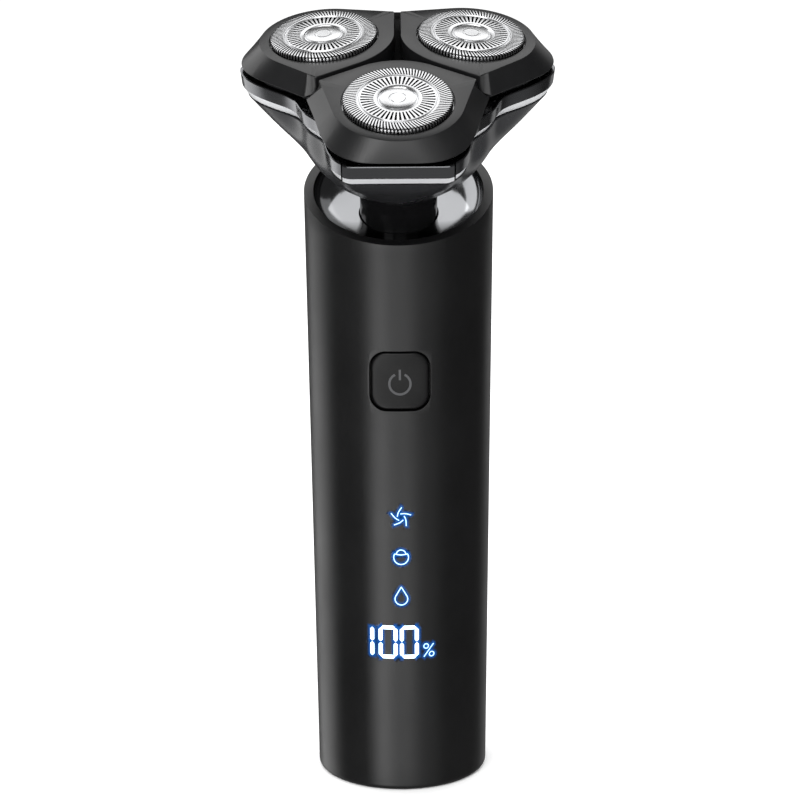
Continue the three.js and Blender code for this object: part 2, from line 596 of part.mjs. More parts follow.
const BOWL_HOLE_R = NECK_R + 2;
const BOWL_TOP_R = LOBE_R - 1.4;
const bowlLine = [[BOWL_HOLE_R, BOWL_LOW], [BOWL_HOLE_R + 2.6, 4.5], [BOWL_HOLE_R + 5.3, BOWL_ROUND],
  [BOWL_TOP_R - 10.5, 10.4], [BOWL_TOP_R - 4.9, 15], [BOWL_TOP_R, BOWL_TOP]];
const bowlInside = [[BOWL_TOP_R - BOWL_WALL, BOWL_TOP], [BOWL_TOP_R - 6.5, 15.4],
  [BOWL_TOP_R - 12.3, 10.9], [LUG_OUT + 1.2, 7.2], [LUG_OUT + 0.2, 5.4], [BOWL_HOLE_R, 5.1]];
const LOBES = 48;                 // facets round a three-lobed piece
const GAP_ANGLES = [90, 210, 330].map((value) => value * DEG);
const GAP_R = trefoil(GAP_ANGLES[0]);
const HINGE_Y = GAP_R + HINGE_OUT;
const POST_R = GAP_R - 8.1;
const POST_LOW = 8;
const POST_OUT_R = 2.2;
const TALL = 50;                  // higher than any piece of the head

const hingeBore = () => crossBar('x', HINGE_PIN_R + RUN_GAP, -TAB_W / 2, TAB_W / 2, HINGE_Y, HINGE_Z);

function headHousing() {
  const rows = [...bowlLine, ...bowlInside].map(([r, z]) => bowlRow(r, z));
  let body = solid(shapedRing(rows, LOBES));
  const lugHole = crossBar('y', PIN_HOLE, -LUG_OUT - 1, LUG_OUT + 1, 0, PIVOT_Z);
  for (const side of [-1, 1]) {
    const ends = between(side, LUG_IN, LUG_OUT + 1.6);
    body = body.add(block([-LUG_HALF, ends[0], BOWL_LOW + 0.9], [LUG_HALF, ends[1], PIVOT_Z + LUG_HALF]));
  }
  body = cutFrom(body, lugHole);
  for (const angle of GAP_ANGLES) {
    const [x, y] = [POST_R * Math.cos(angle), POST_R * Math.sin(angle)];
    body = body.add(cylinder(POST_OUT_R, POST_LOW, BOWL_TOP, x, y, SMALL));
    body = body.subtract(cylinder(SCREW_R + RUN_GAP, BOWL_TOP - 7, BOWL_TOP + 1, x, y, SMALL));
  }
  const rear = GAP_R + 0.5;
  const footLow = BOWL_TOP - 2.4;
  const lugBack = HINGE_Y + HINGE_BARREL_R;
  for (const side of [-1, 1]) {
    const [low, high] = between(side, HINGE_SLOT, HINGE_SLOT + HINGE_LUG);
    body = join(body,
      block([low, rear - 4, footLow], [high, lugBack, BOWL_TOP - 0.2]),
      block([low, rear, footLow], [high, lugBack, HINGE_Z]),
      crossBar('x', HINGE_BARREL_R, low, high, HINGE_Y, HINGE_Z));
  }
  return body.subtract(hingeBore());
}

place(head, 'head_housing', headHousing(), 'gloss');

// Trim band with the opening for the release tab, and the tab itself.
function trimBand(proud = 0) {
  const rows = [[0, TRIM_HIGH], [0.3, TRIM_LOW + TRIM_CHAMFER], [1.4, TRIM_LOW],
    [TRIM_WALL + 0.6, TRIM_LOW], [TRIM_WALL, TRIM_HIGH]];
  return solid(shapedRing(rows.map(([inset, z]) =>
    [(angle) => trefoil(angle, inset - proud), z]), LOBES));
}

const reachY = -2 * LOBE_R;
const tabZone = (grow) => block([-TAB_W / 2 - grow, reachY, TRIM_LOW - 1],
  [TAB_W / 2 + grow, -LOBE_R / 2, TRIM_HIGH + 1]);
place(head, 'head_trim', trimBand().subtract(tabZone(GAP)), 'chrome');
place(head, 'release_tab', trimBand(TAB_PROUD).intersect(tabZone(0)), 'chrome');

// Gear plate below the gears and gear cover above them.
function headPlate(low, inset, holes) {
  const tabRoom = block([-TAB_W / 2 - 1, reachY, 0], [TAB_W / 2 + 1, -LOBE_R + inset + 1.2, TALL]);
  const plate = solid(prism(polarShape((angle) => trefoil(angle, inset), LOBES), low, low + PLATE_THICK));
  return cutFrom(plate, tabRoom, ...holes);
}

function spindleHoles(radius) {
  return Object.values(PETALS).map((angle) =>
    cylinder(radius, 0, TALL, SPINDLE_R * Math.cos(angle), SPINDLE_R * Math.sin(angle), MEDIUM));
}

const PLATE_LOW = TRIM_LOW + 0.1;
const PLATE_INSET = TRIM_WALL + 1.0;
const SUN_SHAFT_R = 1.5;
const SPINDLE_FOOT_R = 1.2;       // spindle below its gear, above it, and at its hexagonal tip
const SPINDLE_NECK_R = 2.4;
const SPINDLE_TIP_R = 1.5;
const SPINDLE_FOOT = 20.9;
const SPINDLE_SHOULDER = 26.6;
const SPINDLE_TOP = 29.4;
const plateScrewHoles = GAP_ANGLES.map((angle) =>
  cylinder(SCREW_R + RUN_GAP, 0, TALL, POST_R * Math.cos(angle), POST_R * Math.sin(angle), SMALL));
place(head, 'gear_plate', headPlate(PLATE_LOW, PLATE_INSET,
  [cylinder(SUN_SHAFT_R + RUN_GAP, 0, TALL), ...spindleHoles(SPINDLE_FOOT_R + RUN_GAP),
    ...plateScrewHoles]), 'inner');
place(head, 'gear_cover', headPlate(GEAR_LOW + GEAR_THICK + 0.4, PLATE_INSET,
  spindleHoles(SPINDLE_NECK_R + GAP)), 'inner');
GAP_ANGLES.forEach((angle, i) => {
  place(head, `housing_screw_${i + 1}`, screw(BOWL_TOP - 6, PLATE_LOW + PLATE_THICK + 1.2,
    POST_R * Math.cos(angle), POST_R * Math.sin(angle)), 'steel');
});
const HINGE_PIN_END = HINGE_SLOT + HINGE_LUG + 0.4;
place(head, 'hinge_pin', crossBar('x', HINGE_PIN_R, -HINGE_PIN_END, HINGE_PIN_END, HINGE_Y, HINGE_Z),
  'steel');

// ---------------------------------------------------------------- drive train in the head
function gear(teeth, firstTooth, bore) {
  const pitch = 2 * Math.PI / teeth;
  const pitchR = MODULE_MM * teeth / 2;
  const shape = new THREE.Shape();
  for (let i = 0; i < teeth; i++) {
    const middle = firstTooth + i * pitch;
    const corners = [[-0.24, -0.95], [-0.09, 0.7], [0.09, 0.7], [0.24, -0.95]];
    for (const [part, height] of corners) {
      const r = pitchR + height * MODULE_MM;
      const turn = middle + part * pitch;
      const method = i === 0 && part === -0.24 ? 'moveTo' : 'lineTo';
      shape[method](r * Math.cos(turn), r * Math.sin(turn));
    }
  }
  shape.closePath();
  const blank = solid(prism(shape, GEAR_LOW, GEAR_LOW + GEAR_THICK));
  return bore ? blank.subtract(cylinder(bore, 0, TALL)) : blank;
}

const hexBar = (radius, low, high) => cylinder(radius, low, high, 0, 0, 6);
const CUP_ROOF_THICK = 1.6;
const cupRoof = PIVOT_Z + BALL_R + BALL_GAP;

place(head, 'drive_shaft', join(
  solid(lathe([[0, cupRoof], [CUP_BORE_R, cupRoof], [CUP_BORE_R, PIVOT_Z - CUP_LIP],
    [CUP_R, PIVOT_Z - CUP_LIP], [CUP_R, cupRoof + CUP_ROOF_THICK], [0, cupRoof + CUP_ROOF_THICK]],
    MEDIUM)),
  cylinder(SUN_SHAFT_R, cupRoof + CUP_ROOF_THICK / 2, GEAR_LOW + GEAR_THICK)), 'steel');
place(head, 'center_gear', gear(SUN_TEETH, 0, SUN_SHAFT_R + 0.1), 'gear');
for (const [side, angle] of Object.entries(PETALS)) {
  const half = Math.PI / PLANET_TEETH;
  const body = join(gear(PLANET_TEETH, Math.PI + half, 0),
    cylinder(SPINDLE_FOOT_R, SPINDLE_FOOT, GEAR_LOW + SINK),
    cylinder(SPINDLE_NECK_R, GEAR_LOW + GEAR_THICK - SINK, SPINDLE_SHOULDER),
    hexBar(SPINDLE_TIP_R, SPINDLE_SHOULDER - SINK, SPINDLE_TOP));
  const mesh = place(head, `spindle_gear_${side}`, body, 'gear');
  mesh.position.set(SPINDLE_R * Math.cos(angle), SPINDLE_R * Math.sin(angle), 0);
  mesh.rotation.z = angle;
}

// ---------------------------------------------------------------- cover and petals
// Seats in the cover give the cutter holders room to tilt.
const SEAT_R = GUARD_R + 1.8;
const SEAT_THICK = 0.6;
const COVER_MEAN_R = CUTTER_PITCH_R + SKIRT_FRONT - 9.55;

function coverFrame() {
  const inset = TREFOIL[0] - COVER_MEAN_R;
  const outline = polarShape((angle) => trefoil(angle, inset), LOBES);
  const plate = solid(prism(outline, COVER_LOW, COVER_LOW + PLATE_THICK));
  const arm = block([-HINGE_ARM, HINGE_Y - 10, COVER_LOW],
    [HINGE_ARM, HINGE_Y, COVER_LOW + PLATE_THICK]);
  const barrel = crossBar('x', HINGE_BARREL_R - 0.1, -HINGE_ARM, HINGE_ARM, HINGE_Y, HINGE_Z);
  const seats = Object.values(PETALS).map((angle) => cylinder(SEAT_R, COVER_LOW + SEAT_THICK, TALL,
    CUTTER_PITCH_R * Math.cos(angle), CUTTER_PITCH_R * Math.sin(angle), LARGE));
  return cutFrom(join(plate, arm, barrel), ...seats, ...spindleHoles(GUARD_R - 2.4), hingeBore());
}

place(head, 'cover_frame', coverFrame(), 'gloss');

// Petal outlines about the guard centre, angle 0 outwards; both sides lie along the slots.
const SLOT_SIDE = CUTTER_PITCH_R * Math.cos(30 * DEG) - PETAL_GAP / 2;
const SLOT_ANGLE = 150 * DEG;
const PLATE_SIDE_ANGLE = 75.6 * DEG;

function folded(angle) {
  return Math.abs(Math.atan2(Math.sin(angle), Math.cos(angle)));
}

function slotEdge(turn) {
  return turn > SLOT_ANGLE ? SLOT_SIDE : SLOT_SIDE / Math.cos(SLOT_ANGLE - turn);
}

function plateOutline(angle) {
  const turn = folded(angle);
  if (turn <= PLATE_SIDE_ANGLE) return PLATE_ARC_R;
  const side = turn < 150 * DEG ? PLATE_ARC_R / Math.cos(turn - PLATE_SIDE_ANGLE) : Infinity;
  return Math.min(side, slotEdge(turn));
}

function skirtOutline(angle) {
  const turn = folded(angle);
  const front = turn < 60 * DEG ? SKIRT_FRONT / Math.cos(turn) : Infinity;
  const corner = turn < 62 * DEG ? SKIRT_ARC_R : Infinity;
  const side = turn < 150 * DEG ? SKIRT_SIDE / Math.cos(turn - SKIRT_SIDE_ANGLE) : Infinity;
  const slot = turn > 90 * DEG ? slotEdge(turn) : Infinity;
  return Math.min(front, corner, side, slot);
}

function petalShell() {
  const hole = () => GUARD_R + GAP;
  const rows = [
    [hole, -PETAL_DROP],
    [plateOutline, -PETAL_DROP],
    [skirtOutline, -SKIRT_DROP],
    [(angle) => skirtOutline(angle) - PETAL_WALL, -SKIRT_DROP - 0.5],
    [(angle) => plateOutline(angle) - PETAL_WALL, -PETAL_DROP - PETAL_THICK],
    [hole, -PETAL_DROP - PETAL_THICK],
  ];
  return solid(shapedRing(rows, 40));
}

const GUARD_WALL = 0.5;
const FLANGE_LOW = -3.0;
const FLANGE_HIGH = -PETAL_DROP - PETAL_THICK - GAP;
const FLANGE_R = PLATE_ARC_R - 1.6;
const guardBody = solid(lathe([[0, 0], [GUARD_R - 0.4, 0], [GUARD_R, -0.4],
  [GUARD_R, FLANGE_HIGH], [FLANGE_R, FLANGE_HIGH], [FLANGE_R, FLANGE_LOW],
  [GUARD_R - GUARD_WALL, FLANGE_LOW], [GUARD_R - GUARD_WALL, -GUARD_WALL], [0, -GUARD_WALL]], 24));
const HOLDER_IN = GUARD_R - 0.9;
const HOLDER_LOW = FLANGE_LOW - 0.8;
const HOLDER_HIGH = FLANGE_LOW - 0.2;
const holderBody = solid(lathe([[HOLDER_IN, HOLDER_LOW], [FLANGE_R, HOLDER_LOW],
  [FLANGE_R, HOLDER_HIGH], [HOLDER_IN, HOLDER_HIGH]], 24));

const CUTTER_R = GUARD_R - 1.2;
const BLADES = 9;
const BLADE_THICK = 0.8;
const BLADE_TOP = -0.9;
const DISC_LOW = -3.0;
const DISC_HIGH = -2.2;
const HUB_R = 3.4;
const HUB_LOW = -4.6;
const HUB_HIGH = -1.4;

function cutterBody() {
  let body = join(cylinder(CUTTER_R, DISC_LOW, DISC_HIGH, 0, 0, 20),
    cylinder(HUB_R, HUB_LOW, HUB_HIGH, 0, 0, SMALL));
  const bladeLow = [HUB_R + 0.6, -BLADE_THICK / 2, DISC_HIGH - 0.3];
  for (let i = 0; i < BLADES; i++) {
    const blade = block(bladeLow, [CUTTER_R - 0.2, BLADE_THICK / 2, BLADE_TOP]);
    body = body.add(blade.rotate(0, 0, i * 360 / BLADES));
  }
  return body.subtract(hexBar(SPINDLE_TIP_R + 0.65, HUB_LOW - 1, HUB_HIGH - 0.5));
}

const petalBody = petalShell();
const bladeBody = cutterBody();
for (const [side, group] of Object.entries(petalGroups)) {
  place(group, `petal_${side}`, petalBody, 'satin');
  place(group, `guard_${side}`, guardBody, 'steel');
  place(group, `cutter_holder_${side}`, holderBody, 'inner');
  place(group, `cutter_${side}`, bladeBody, 'steel');
}

export default shaver;
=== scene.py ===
"""Cordless shaver with three turning cutters: the looks of its pieces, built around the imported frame.

Every mesh is made in millimetres and scaled to metres once, when the piece is finished.
"""

import json
import math

import bmesh
import bpy
from bpy.props import FloatProperty, FloatVectorProperty, PointerProperty
from mathutils import Matrix, Vector


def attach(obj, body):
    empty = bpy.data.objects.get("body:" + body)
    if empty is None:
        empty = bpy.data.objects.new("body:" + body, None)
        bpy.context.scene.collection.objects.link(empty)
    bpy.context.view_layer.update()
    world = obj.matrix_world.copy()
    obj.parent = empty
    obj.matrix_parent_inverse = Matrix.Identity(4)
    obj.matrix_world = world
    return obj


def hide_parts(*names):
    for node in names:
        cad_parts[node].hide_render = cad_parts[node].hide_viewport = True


bl_info = {
    "name": "Shaver builder",
    "version": (1, 0, 0),
    "blender": (4, 5, 0),
    "location": "View3D > Sidebar > Shaver",
    "description": "Models the visible pieces of a three-cutter shaver around its packed frame",
    "category": "Add Mesh",
}

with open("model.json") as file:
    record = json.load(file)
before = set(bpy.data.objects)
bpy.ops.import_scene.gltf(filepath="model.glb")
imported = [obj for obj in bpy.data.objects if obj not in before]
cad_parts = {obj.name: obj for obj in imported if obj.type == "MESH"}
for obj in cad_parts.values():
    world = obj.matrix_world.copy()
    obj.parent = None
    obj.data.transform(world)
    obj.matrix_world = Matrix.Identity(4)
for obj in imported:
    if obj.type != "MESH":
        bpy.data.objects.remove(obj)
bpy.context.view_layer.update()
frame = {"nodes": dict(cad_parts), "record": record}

MM = 0.001
TURN = 2 * math.pi
PETAL_ANGLES = {"front": -90, "right": 30, "left": 150}
GAP_ANGLES = (90, 210, 330)


# ---------------------------------------------------------------- sizes and colours
def length(name, text, value):
    """A length in millimetres, shown with its name and meaning."""
    return FloatProperty(name=name, description=text, default=value, min=0.0, soft_max=200.0)


def colour(name, text, value):
    """A linear colour shown as a swatch."""
    return FloatVectorProperty(
        name=name, description=text, default=value, size=3, min=0.0, max=1.0, subtype="COLOR"
    )


class ShaverHandleSizes(bpy.types.PropertyGroup):
    """Sizes of the handle, in millimetres."""

    base_radius: length("Base radius", "Handle radius at the base, mm", 18.4)
    rim_radius: length("Rim radius", "Handle radius at the rim centre, mm", 20.0)
    rim_height: length("Rim height", "Height of the rim centre, mm", 128.0)
    wall: length("Wall", "Thickness of the shell, mm", 2.0)
    base_round: length("Base round", "Rounding of the bottom edge, mm", 1.2)
    rim_round: length("Rim round", "Rounding of the slanted rim, mm", 0.35)
    button_width: length("Button width", "Power button across, mm", 12.1)
    button_corner: length("Button corner", "Corner radius of the power button, mm", 3.2)
    button_height: length("Button height", "Height of the button centre, mm", 90.8)
    button_gap: length("Button gap", "Gap round the power button, mm", 0.35)
    button_dish: length("Button dish", "Depth of the hollow in the button, mm", 0.4)
    head_tilt: FloatProperty(
        name="Head tilt",
        description="Forward tilt of the rim and the head",
        default=math.radians(23.3),
        subtype="ANGLE",
        unit="ROTATION",
    )


class ShaverHeadSizes(bpy.types.PropertyGroup):
    """Sizes of the head, in millimetres, along and across its own tilted axis."""

    neck_radius: length("Neck radius", "Radius of the neck post, mm", 8.2)
    dish_depth: length("Collar depth", "Depth of the collar dish, mm", 5.2)
    trim_low: length("Trim low", "Lower edge of the trim band, mm", 20.6)
    trim_high: length("Trim high", "Upper edge of the trim band, mm", 25.4)
    trim_chamfer: length("Trim chamfer", "Height of the lower trim facet, mm", 1.8)
    tab_width: length("Tab width", "Width of the release tab, mm", 22.0)
    cutter_height: length("Cutter height", "Guard plane above the rim centre, mm", 32.4)
    cutter_pitch: length("Cutter pitch", "Guard centres from the head axis, mm", 17.65)
    guard_radius: length("Guard radius", "Radius of a round guard, mm", 11.0)
    petal_arc: length("Petal arc", "Radius of a petal plate round its guard, mm", 13.4)
    petal_gap: length("Petal gap", "Slot between two petals, mm", 1.5)
    petal_tilt: FloatProperty(
        name="Petal tilt",
        description="Outward lean of each petal",
        default=math.radians(4.8),
        subtype="ANGLE",
        unit="ROTATION",
    )


class ShaverColours(bpy.types.PropertyGroup):
    """Base colours of the finishes."""

    shell: colour("Shell", "Matte black of the handle", (0.0024, 0.0024, 0.0026))
    smoke: colour("Smoke", "Glossy smoked black of the head", (0.02, 0.0205, 0.022))
    satin: colour("Satin", "Satin black of the petals and the button", (0.0055, 0.0056, 0.006))
    dark_chrome: colour("Dark chrome", "Plated trim band", (0.2, 0.203, 0.212))
    # The facet colour is a brighter copy of the trim plating: a painted highlight.
    facet: colour("Facet", "Bright lower facet of the trim", (0.85, 0.86, 0.88))
    collar: colour("Collar", "Plated collar dish", (0.3, 0.305, 0.315))
    steel: colour("Steel", "Polished steel of the guards", (0.72, 0.725, 0.735))
    glow: colour("Glow", "Lit digits and signs", (0.62, 0.82, 1.0))
    sign: colour("Sign", "Lit signs above the digits", (0.4, 0.7, 1.0))
    halo: colour("Halo", "Haze round the lit signs", (0.02, 0.16, 0.62))


class ShaverStageSettings(bpy.types.PropertyGroup):
    """Camera and lights."""

    lens: FloatProperty(name="Lens", description="Focal length", default=117.0, subtype="DISTANCE_CAMERA")
    camera_distance: length("Camera distance", "Camera in front of the handle axis, mm", 544.1)
    camera_height: length("Camera height", "Camera above the floor, mm", 212.5)
    camera_pitch: FloatProperty(
        name="Camera pitch", description="Downward look of the camera", default=0.235, subtype="ANGLE"
    )
    camera_roll: FloatProperty(
        name="Camera roll", description="Lean of the camera", default=-0.007, subtype="ANGLE"
    )
    key_power: FloatProperty(name="Key power", description="Share of the softboxes' full power", default=1.0)


def handle():
    return bpy.context.scene.shaver_handle


def crown():
    return bpy.context.scene.shaver_head


def colours():
    return bpy.context.scene.shaver_colours


# ---------------------------------------------------------------- places
def head_place():
    """Rim centre, tipped forward with the head."""
    return Matrix.Translation((0, 0, handle().rim_height)) @ Matrix.Rotation(handle().head_tilt, 4, "X")


def petal_place(side):
    """Guard centre of one petal: X outwards, Z off the guard."""
    angle = math.radians(PETAL_ANGLES[side])
    pitch = crown().cutter_pitch
    spot = Vector((pitch * math.cos(angle), pitch * math.sin(angle), crown().cutter_height))
    lean = Matrix.Rotation(angle, 4, "Z") @ Matrix.Rotation(crown().petal_tilt, 4, "Y")
    return head_place() @ Matrix.Translation(spot) @ lean


def share_of(value, start, end):
    """How far a value is from a start to an end, from 0 to 1."""
    return min(max((value - start) / (end - start), 0.0), 1.0)


def shell_radius(z):
    sizes = handle()
    return sizes.base_radius + (sizes.rim_radius - sizes.base_radius) * z / sizes.rim_height


def shell_front(x, z, lift=0.0):
    """Y of the handle's front at a width and a height."""
    radius = shell_radius(z) + lift
    return -math.sqrt(max(radius * radius - x * x, 0.0))


# ---------------------------------------------------------------- mesh helpers
def spun(profile, steps=128, closed=True):
    """Profile of (radius, height) turned about Z into a shell that faces outwards."""
    bm = bmesh.new()
    verts = [bm.verts.new((radius, 0, z)) for radius, z in profile]
    ends = verts[1:] + verts[:1] if closed else verts[1:]
    edges = [bm.edges.new(pair) for pair in zip(verts, ends)]
    bmesh.ops.spin(
        bm, geom=verts + edges, axis=(0, 0, 1), cent=(0, 0, 0), angle=TURN, steps=steps, use_merge=True
    )
    bmesh.ops.remove_doubles(bm, verts=bm.verts, dist=1e-4)
    bmesh.ops.recalc_face_normals(bm, faces=bm.faces)
    return bm


def lofted(rows, segments=192, chain=None, closed=False, close_section=True):
    """Skin through rows: each row is a function of a turn that gives a point.

    The first row starts as a circle, or as a chain with one vertex for each turn, and each next row is
    extruded from it.
    """
    bm = bmesh.new()
    turn_of = bm.verts.layers.float.new("turn")
    if chain is None:
        bmesh.ops.create_circle(bm, segments=segments, radius=1.0)
        for vert in bm.verts:
            vert[turn_of] = math.atan2(vert.co.y, vert.co.x)
    else:
        verts = [bm.verts.new((0, 0, 0)) for turn in chain]
        for vert, turn in zip(verts, chain):
            vert[turn_of] = turn
        for pair in zip(verts, verts[1:] + verts[:1] if closed else verts[1:]):
            bm.edges.new(pair)
    edges = first = bm.edges[:]
    for vert in bm.verts:
        vert.co = rows[0](vert[turn_of])
    for row in rows[1:]:
        made = bmesh.ops.extrude_edge_only(bm, edges=edges)["geom"]
        ring = {item for item in made if isinstance(item, bmesh.types.BMVert)}
        edges = [
            item for item in made if isinstance(item, bmesh.types.BMEdge) and set(item.verts) <= ring
        ]
        for vert in ring:
            vert.co = row(vert[turn_of])
    if close_section:
        bmesh.ops.bridge_loops(bm, edges=first + edges)
        bmesh.ops.recalc_face_normals(bm, faces=bm.faces)
    bm.verts.layers.float.remove(bm.verts.layers.float["turn"])
    return bm


def ring_row(radius, z):
    """Row of a loft from a radius, or a radius by angle, and a height."""
    if callable(radius):
        return lambda turn: (radius(turn) * math.cos(turn), radius(turn) * math.sin(turn), z)
    return lambda turn: (radius * math.cos(turn), radius * math.sin(turn), z)


def cap_ends(bm):
    """Fills each open loop with one face."""
    bmesh.ops.holes_fill(bm, edges=[edge for edge in bm.edges if edge.is_boundary], sides=0)
    bmesh.ops.recalc_face_normals(bm, faces=bm.faces)
    return bm


def whole(bm):
    return bm.verts[:] + bm.edges[:] + bm.faces[:]


def cut_off(bm, point, normal):
    """Keeps what lies behind a plane, and leaves the cut open."""
    bmesh.ops.bisect_plane(bm, geom=whole(bm), plane_co=point, plane_no=normal, clear_outer=True, dist=1e-5)
    return bm


def box(low, high):
    """Block between two corners."""
    bm = bmesh.new()
    size = [b - a for a, b in zip(low, high)]
    middle = [(a + b) / 2 for a, b in zip(low, high)]
    place = Matrix.Translation(middle) @ Matrix.Diagonal((*size, 1.0))
    bmesh.ops.create_cube(bm, size=1.0, matrix=place)
    return bm


def rod(radius, start, end, segments=32):
    """Round bar between two points."""
    bm = bmesh.new()
    start, end = Vector(start), Vector(end)
    along = end - start
    turn = along.to_track_quat("Z", "Y").to_matrix().to_4x4()
    bmesh.ops.create_cone(
        bm,
        cap_ends=True,
        segments=segments,
        radius1=radius,
        radius2=radius,
        depth=along.length,
        matrix=Matrix.Translation((start + end) / 2) @ turn,
    )
    return bm


def soften(bm, width, segments=2, limit=50, chosen=None):
    """Bevels the edges sharper than a limit, in degrees."""
    sharp = [
        edge
        for edge in bm.edges
        if edge.is_manifold
        and edge.calc_face_angle(0) > math.radians(limit)
        and (chosen is None or chosen(edge))
    ]
    bmesh.ops.bevel(
        bm,
        geom=sharp,
        offset=width,
        offset_type="OFFSET",
        affect="EDGES",
        segments=segments,
        profile=0.5,
        material=-1,
        clamp_overlap=True,
    )
    return bm


def added(bm, *others):
    """One mesh from several closed shells."""
    for other in others:
        scratch = bpy.data.meshes.new("scratch")
        other.to_mesh(scratch)
        other.free()
        bm.from_mesh(scratch)
        bpy.data.meshes.remove(scratch)
    return bm


def as_object(bm, name):
    mesh = bpy.data.meshes.new(name)
    bm.to_mesh(mesh)
    bm.free()
    made = bpy.data.objects.new(name, mesh)
    bpy.context.scene.collection.objects.link(made)
    return made


def discard(made):
    mesh = made.data
    bpy.data.objects.remove(made)
    bpy.data.meshes.remove(mesh)


def applied(made):
    """Mesh of an object with its modifiers, and the object removed."""
    bpy.context.view_layer.update()
    evaluated = made.evaluated_get(bpy.context.evaluated_depsgraph_get())
    bm = bmesh.new()
    bm.from_mesh(evaluated.to_mesh())
    evaluated.to_mesh_clear()
    discard(made)
    return bm


def carved(bm, tool, operation="DIFFERENCE"):
    """Boolean of two meshes."""
    body, other = as_object(bm, "carved_body"), as_object(tool, "carving_tool")
    step = body.modifiers.new("carve", "BOOLEAN")
    step.operation = operation
    step.solver = "EXACT"
    step.object = other
    result = applied(body)
    discard(other)
    bmesh.ops.remove_doubles(result, verts=result.verts, dist=1e-4)
    bmesh.ops.dissolve_degenerate(result, edges=result.edges, dist=1e-5)
    return result


def finished(bm, name, material, body, replaced=(), crease=32, place=Matrix()):
    """Puts a mesh in its place, in metres, sets its shading and makes it a piece that rides on a body."""
    bmesh.ops.transform(bm, matrix=Matrix.Scale(MM, 4) @ place, verts=bm.verts)
    for face in bm.faces:
        face.smooth = True
    for edge in bm.edges:
        edge.smooth = edge.is_manifold and edge.calc_face_angle(0) < math.radians(crease)
    piece = as_object(bm, name)
    piece.data.materials.append(material)
    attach(piece, body)
    if replaced:
        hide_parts(*replaced)
    return piece


def curve_through(points, steps=6):
    """Smooth line through points, as a list of points."""
    line = []
    last = len(points) - 1
    for i in range(last):
        p0, p1 = points[max(i - 1, 0)], points[i]
        p2, p3 = points[i + 1], points[min(i + 2, last)]
        for k in range(steps):
            t = k / steps
            line.append(
                tuple(
                    0.5 * (2 * b + (c - a) * t + (2 * a - 5 * b + 4 * c - d) * t**2
                           + (3 * b - a - 3 * c + d) * t**3)
                    for a, b, c, d in zip(p0, p1, p2, p3)
                )
            )
    return line + [tuple(points[-1])]


# ---------------------------------------------------------------- nodes
def feed(tree, made, inputs):
    """Feeds each named input of a node from another socket, or sets its number or colour."""
    for label, source in inputs.items():
        if isinstance(source, bpy.types.NodeSocket):
            tree.links.new(source, made.inputs[label])
        else:
            made.inputs[label].default_value = source


def node(tree, kind, inputs=(), **settings):
    made = tree.nodes.new(kind)
    for name, value in settings.items():
        setattr(made, name, value)
    feed(tree, made, dict(inputs))
    return made


def ranged(tree, value, low, high, to_low, to_high):
    """A value's range laid on another: each end is a number or a socket."""
    ends = {"Value": value, "From Min": low, "From Max": high, "To Min": to_low, "To Max": to_high}
    return node(tree, "ShaderNodeMapRange", ends).outputs["Result"]


def blended(tree, factor, first, second):
    """Colour between two, by a factor."""
    colour_a, colour_b, result = 6, 7, 2
    ends = {"Factor": factor, colour_a: first, colour_b: second}
    return node(tree, "ShaderNodeMix", ends, data_type="RGBA").outputs[result]


def noise(tree, vector, scale, detail=3.0, roughness=0.55):
    wanted = {"Vector": vector, "Scale": scale, "Detail": detail, "Roughness": roughness}
    return node(tree, "ShaderNodeTexNoise", wanted).outputs["Fac"]


def rings_of(tree, vector):
    """Vector of the distance from the Z axis and the height, for fine rings as a lathe leaves them."""
    parts = node(tree, "ShaderNodeSeparateXYZ", {0: vector}).outputs
    flat = node(tree, "ShaderNodeCombineXYZ", {"X": parts["X"], "Y": parts["Y"]})
    reach = node(tree, "ShaderNodeVectorMath", {0: flat.outputs[0]}, operation="LENGTH")
    return node(tree, "ShaderNodeCombineXYZ", {"X": reach.outputs["Value"], "Y": parts["Z"]}).outputs[0]


SKIN_INPUTS = [
    ("Vector", "NodeSocketVector"), ("Colour", "NodeSocketColor"), ("Tint", "NodeSocketColor"),
    ("Grain Scale", "NodeSocketFloat"), ("Smudge Scale", "NodeSocketFloat"),
    ("Roughness Low", "NodeSocketFloat"), ("Roughness High", "NodeSocketFloat"),
]
SKIN_OUTPUTS = [("Colour", "NodeSocketColor"), ("Roughness", "NodeSocketFloat"), ("Height", "NodeSocketFloat")]
SKINS = {  # detail and contrast of the grain, then of the handling marks
    "moulded_skin": (2.0, 0.55, 4.0, 0.6),
    "drawn_metal": (4.0, 0.7, 3.0, 0.5),
    "lathe_turned": (3.0, 0.6, 3.0, 0.5),
}


def skin_group(name):
    """Shader group with a fine grain and faint handling marks.

    Marks change the gloss of moulded plastic. Drawn metal has lines along the stretch of its vector and
    turned metal has rings round the vector's Z axis, and these change their gloss.
    """
    if name in bpy.data.node_groups:
        return bpy.data.node_groups[name]
    group = bpy.data.node_groups.new(name, "ShaderNodeTree")
    for direction, sockets in (("INPUT", SKIN_INPUTS), ("OUTPUT", SKIN_OUTPUTS)):
        for label, kind in sockets:
            group.interface.new_socket(label, in_out=direction, socket_type=kind)
    given = node(group, "NodeGroupInput").outputs
    grain_detail, grain_contrast, smudge_detail, smudge_contrast = SKINS[name]
    along = rings_of(group, given["Vector"]) if name == "lathe_turned" else given["Vector"]
    grain = noise(group, along, given["Grain Scale"], grain_detail, grain_contrast)
    smudge = noise(group, given["Vector"], given["Smudge Scale"], smudge_detail, smudge_contrast)
    gloss = (smudge, 0.35, 0.7) if name == "moulded_skin" else (grain, 0.3, 0.7)
    feed(group, node(group, "NodeGroupOutput"), {
        "Colour": blended(group, ranged(group, smudge, 0.35, 0.7, 0.0, 1.0), given["Colour"], given["Tint"]),
        "Roughness": ranged(group, *gloss, given["Roughness Low"], given["Roughness High"]),
        "Height": grain,
    })
    return group


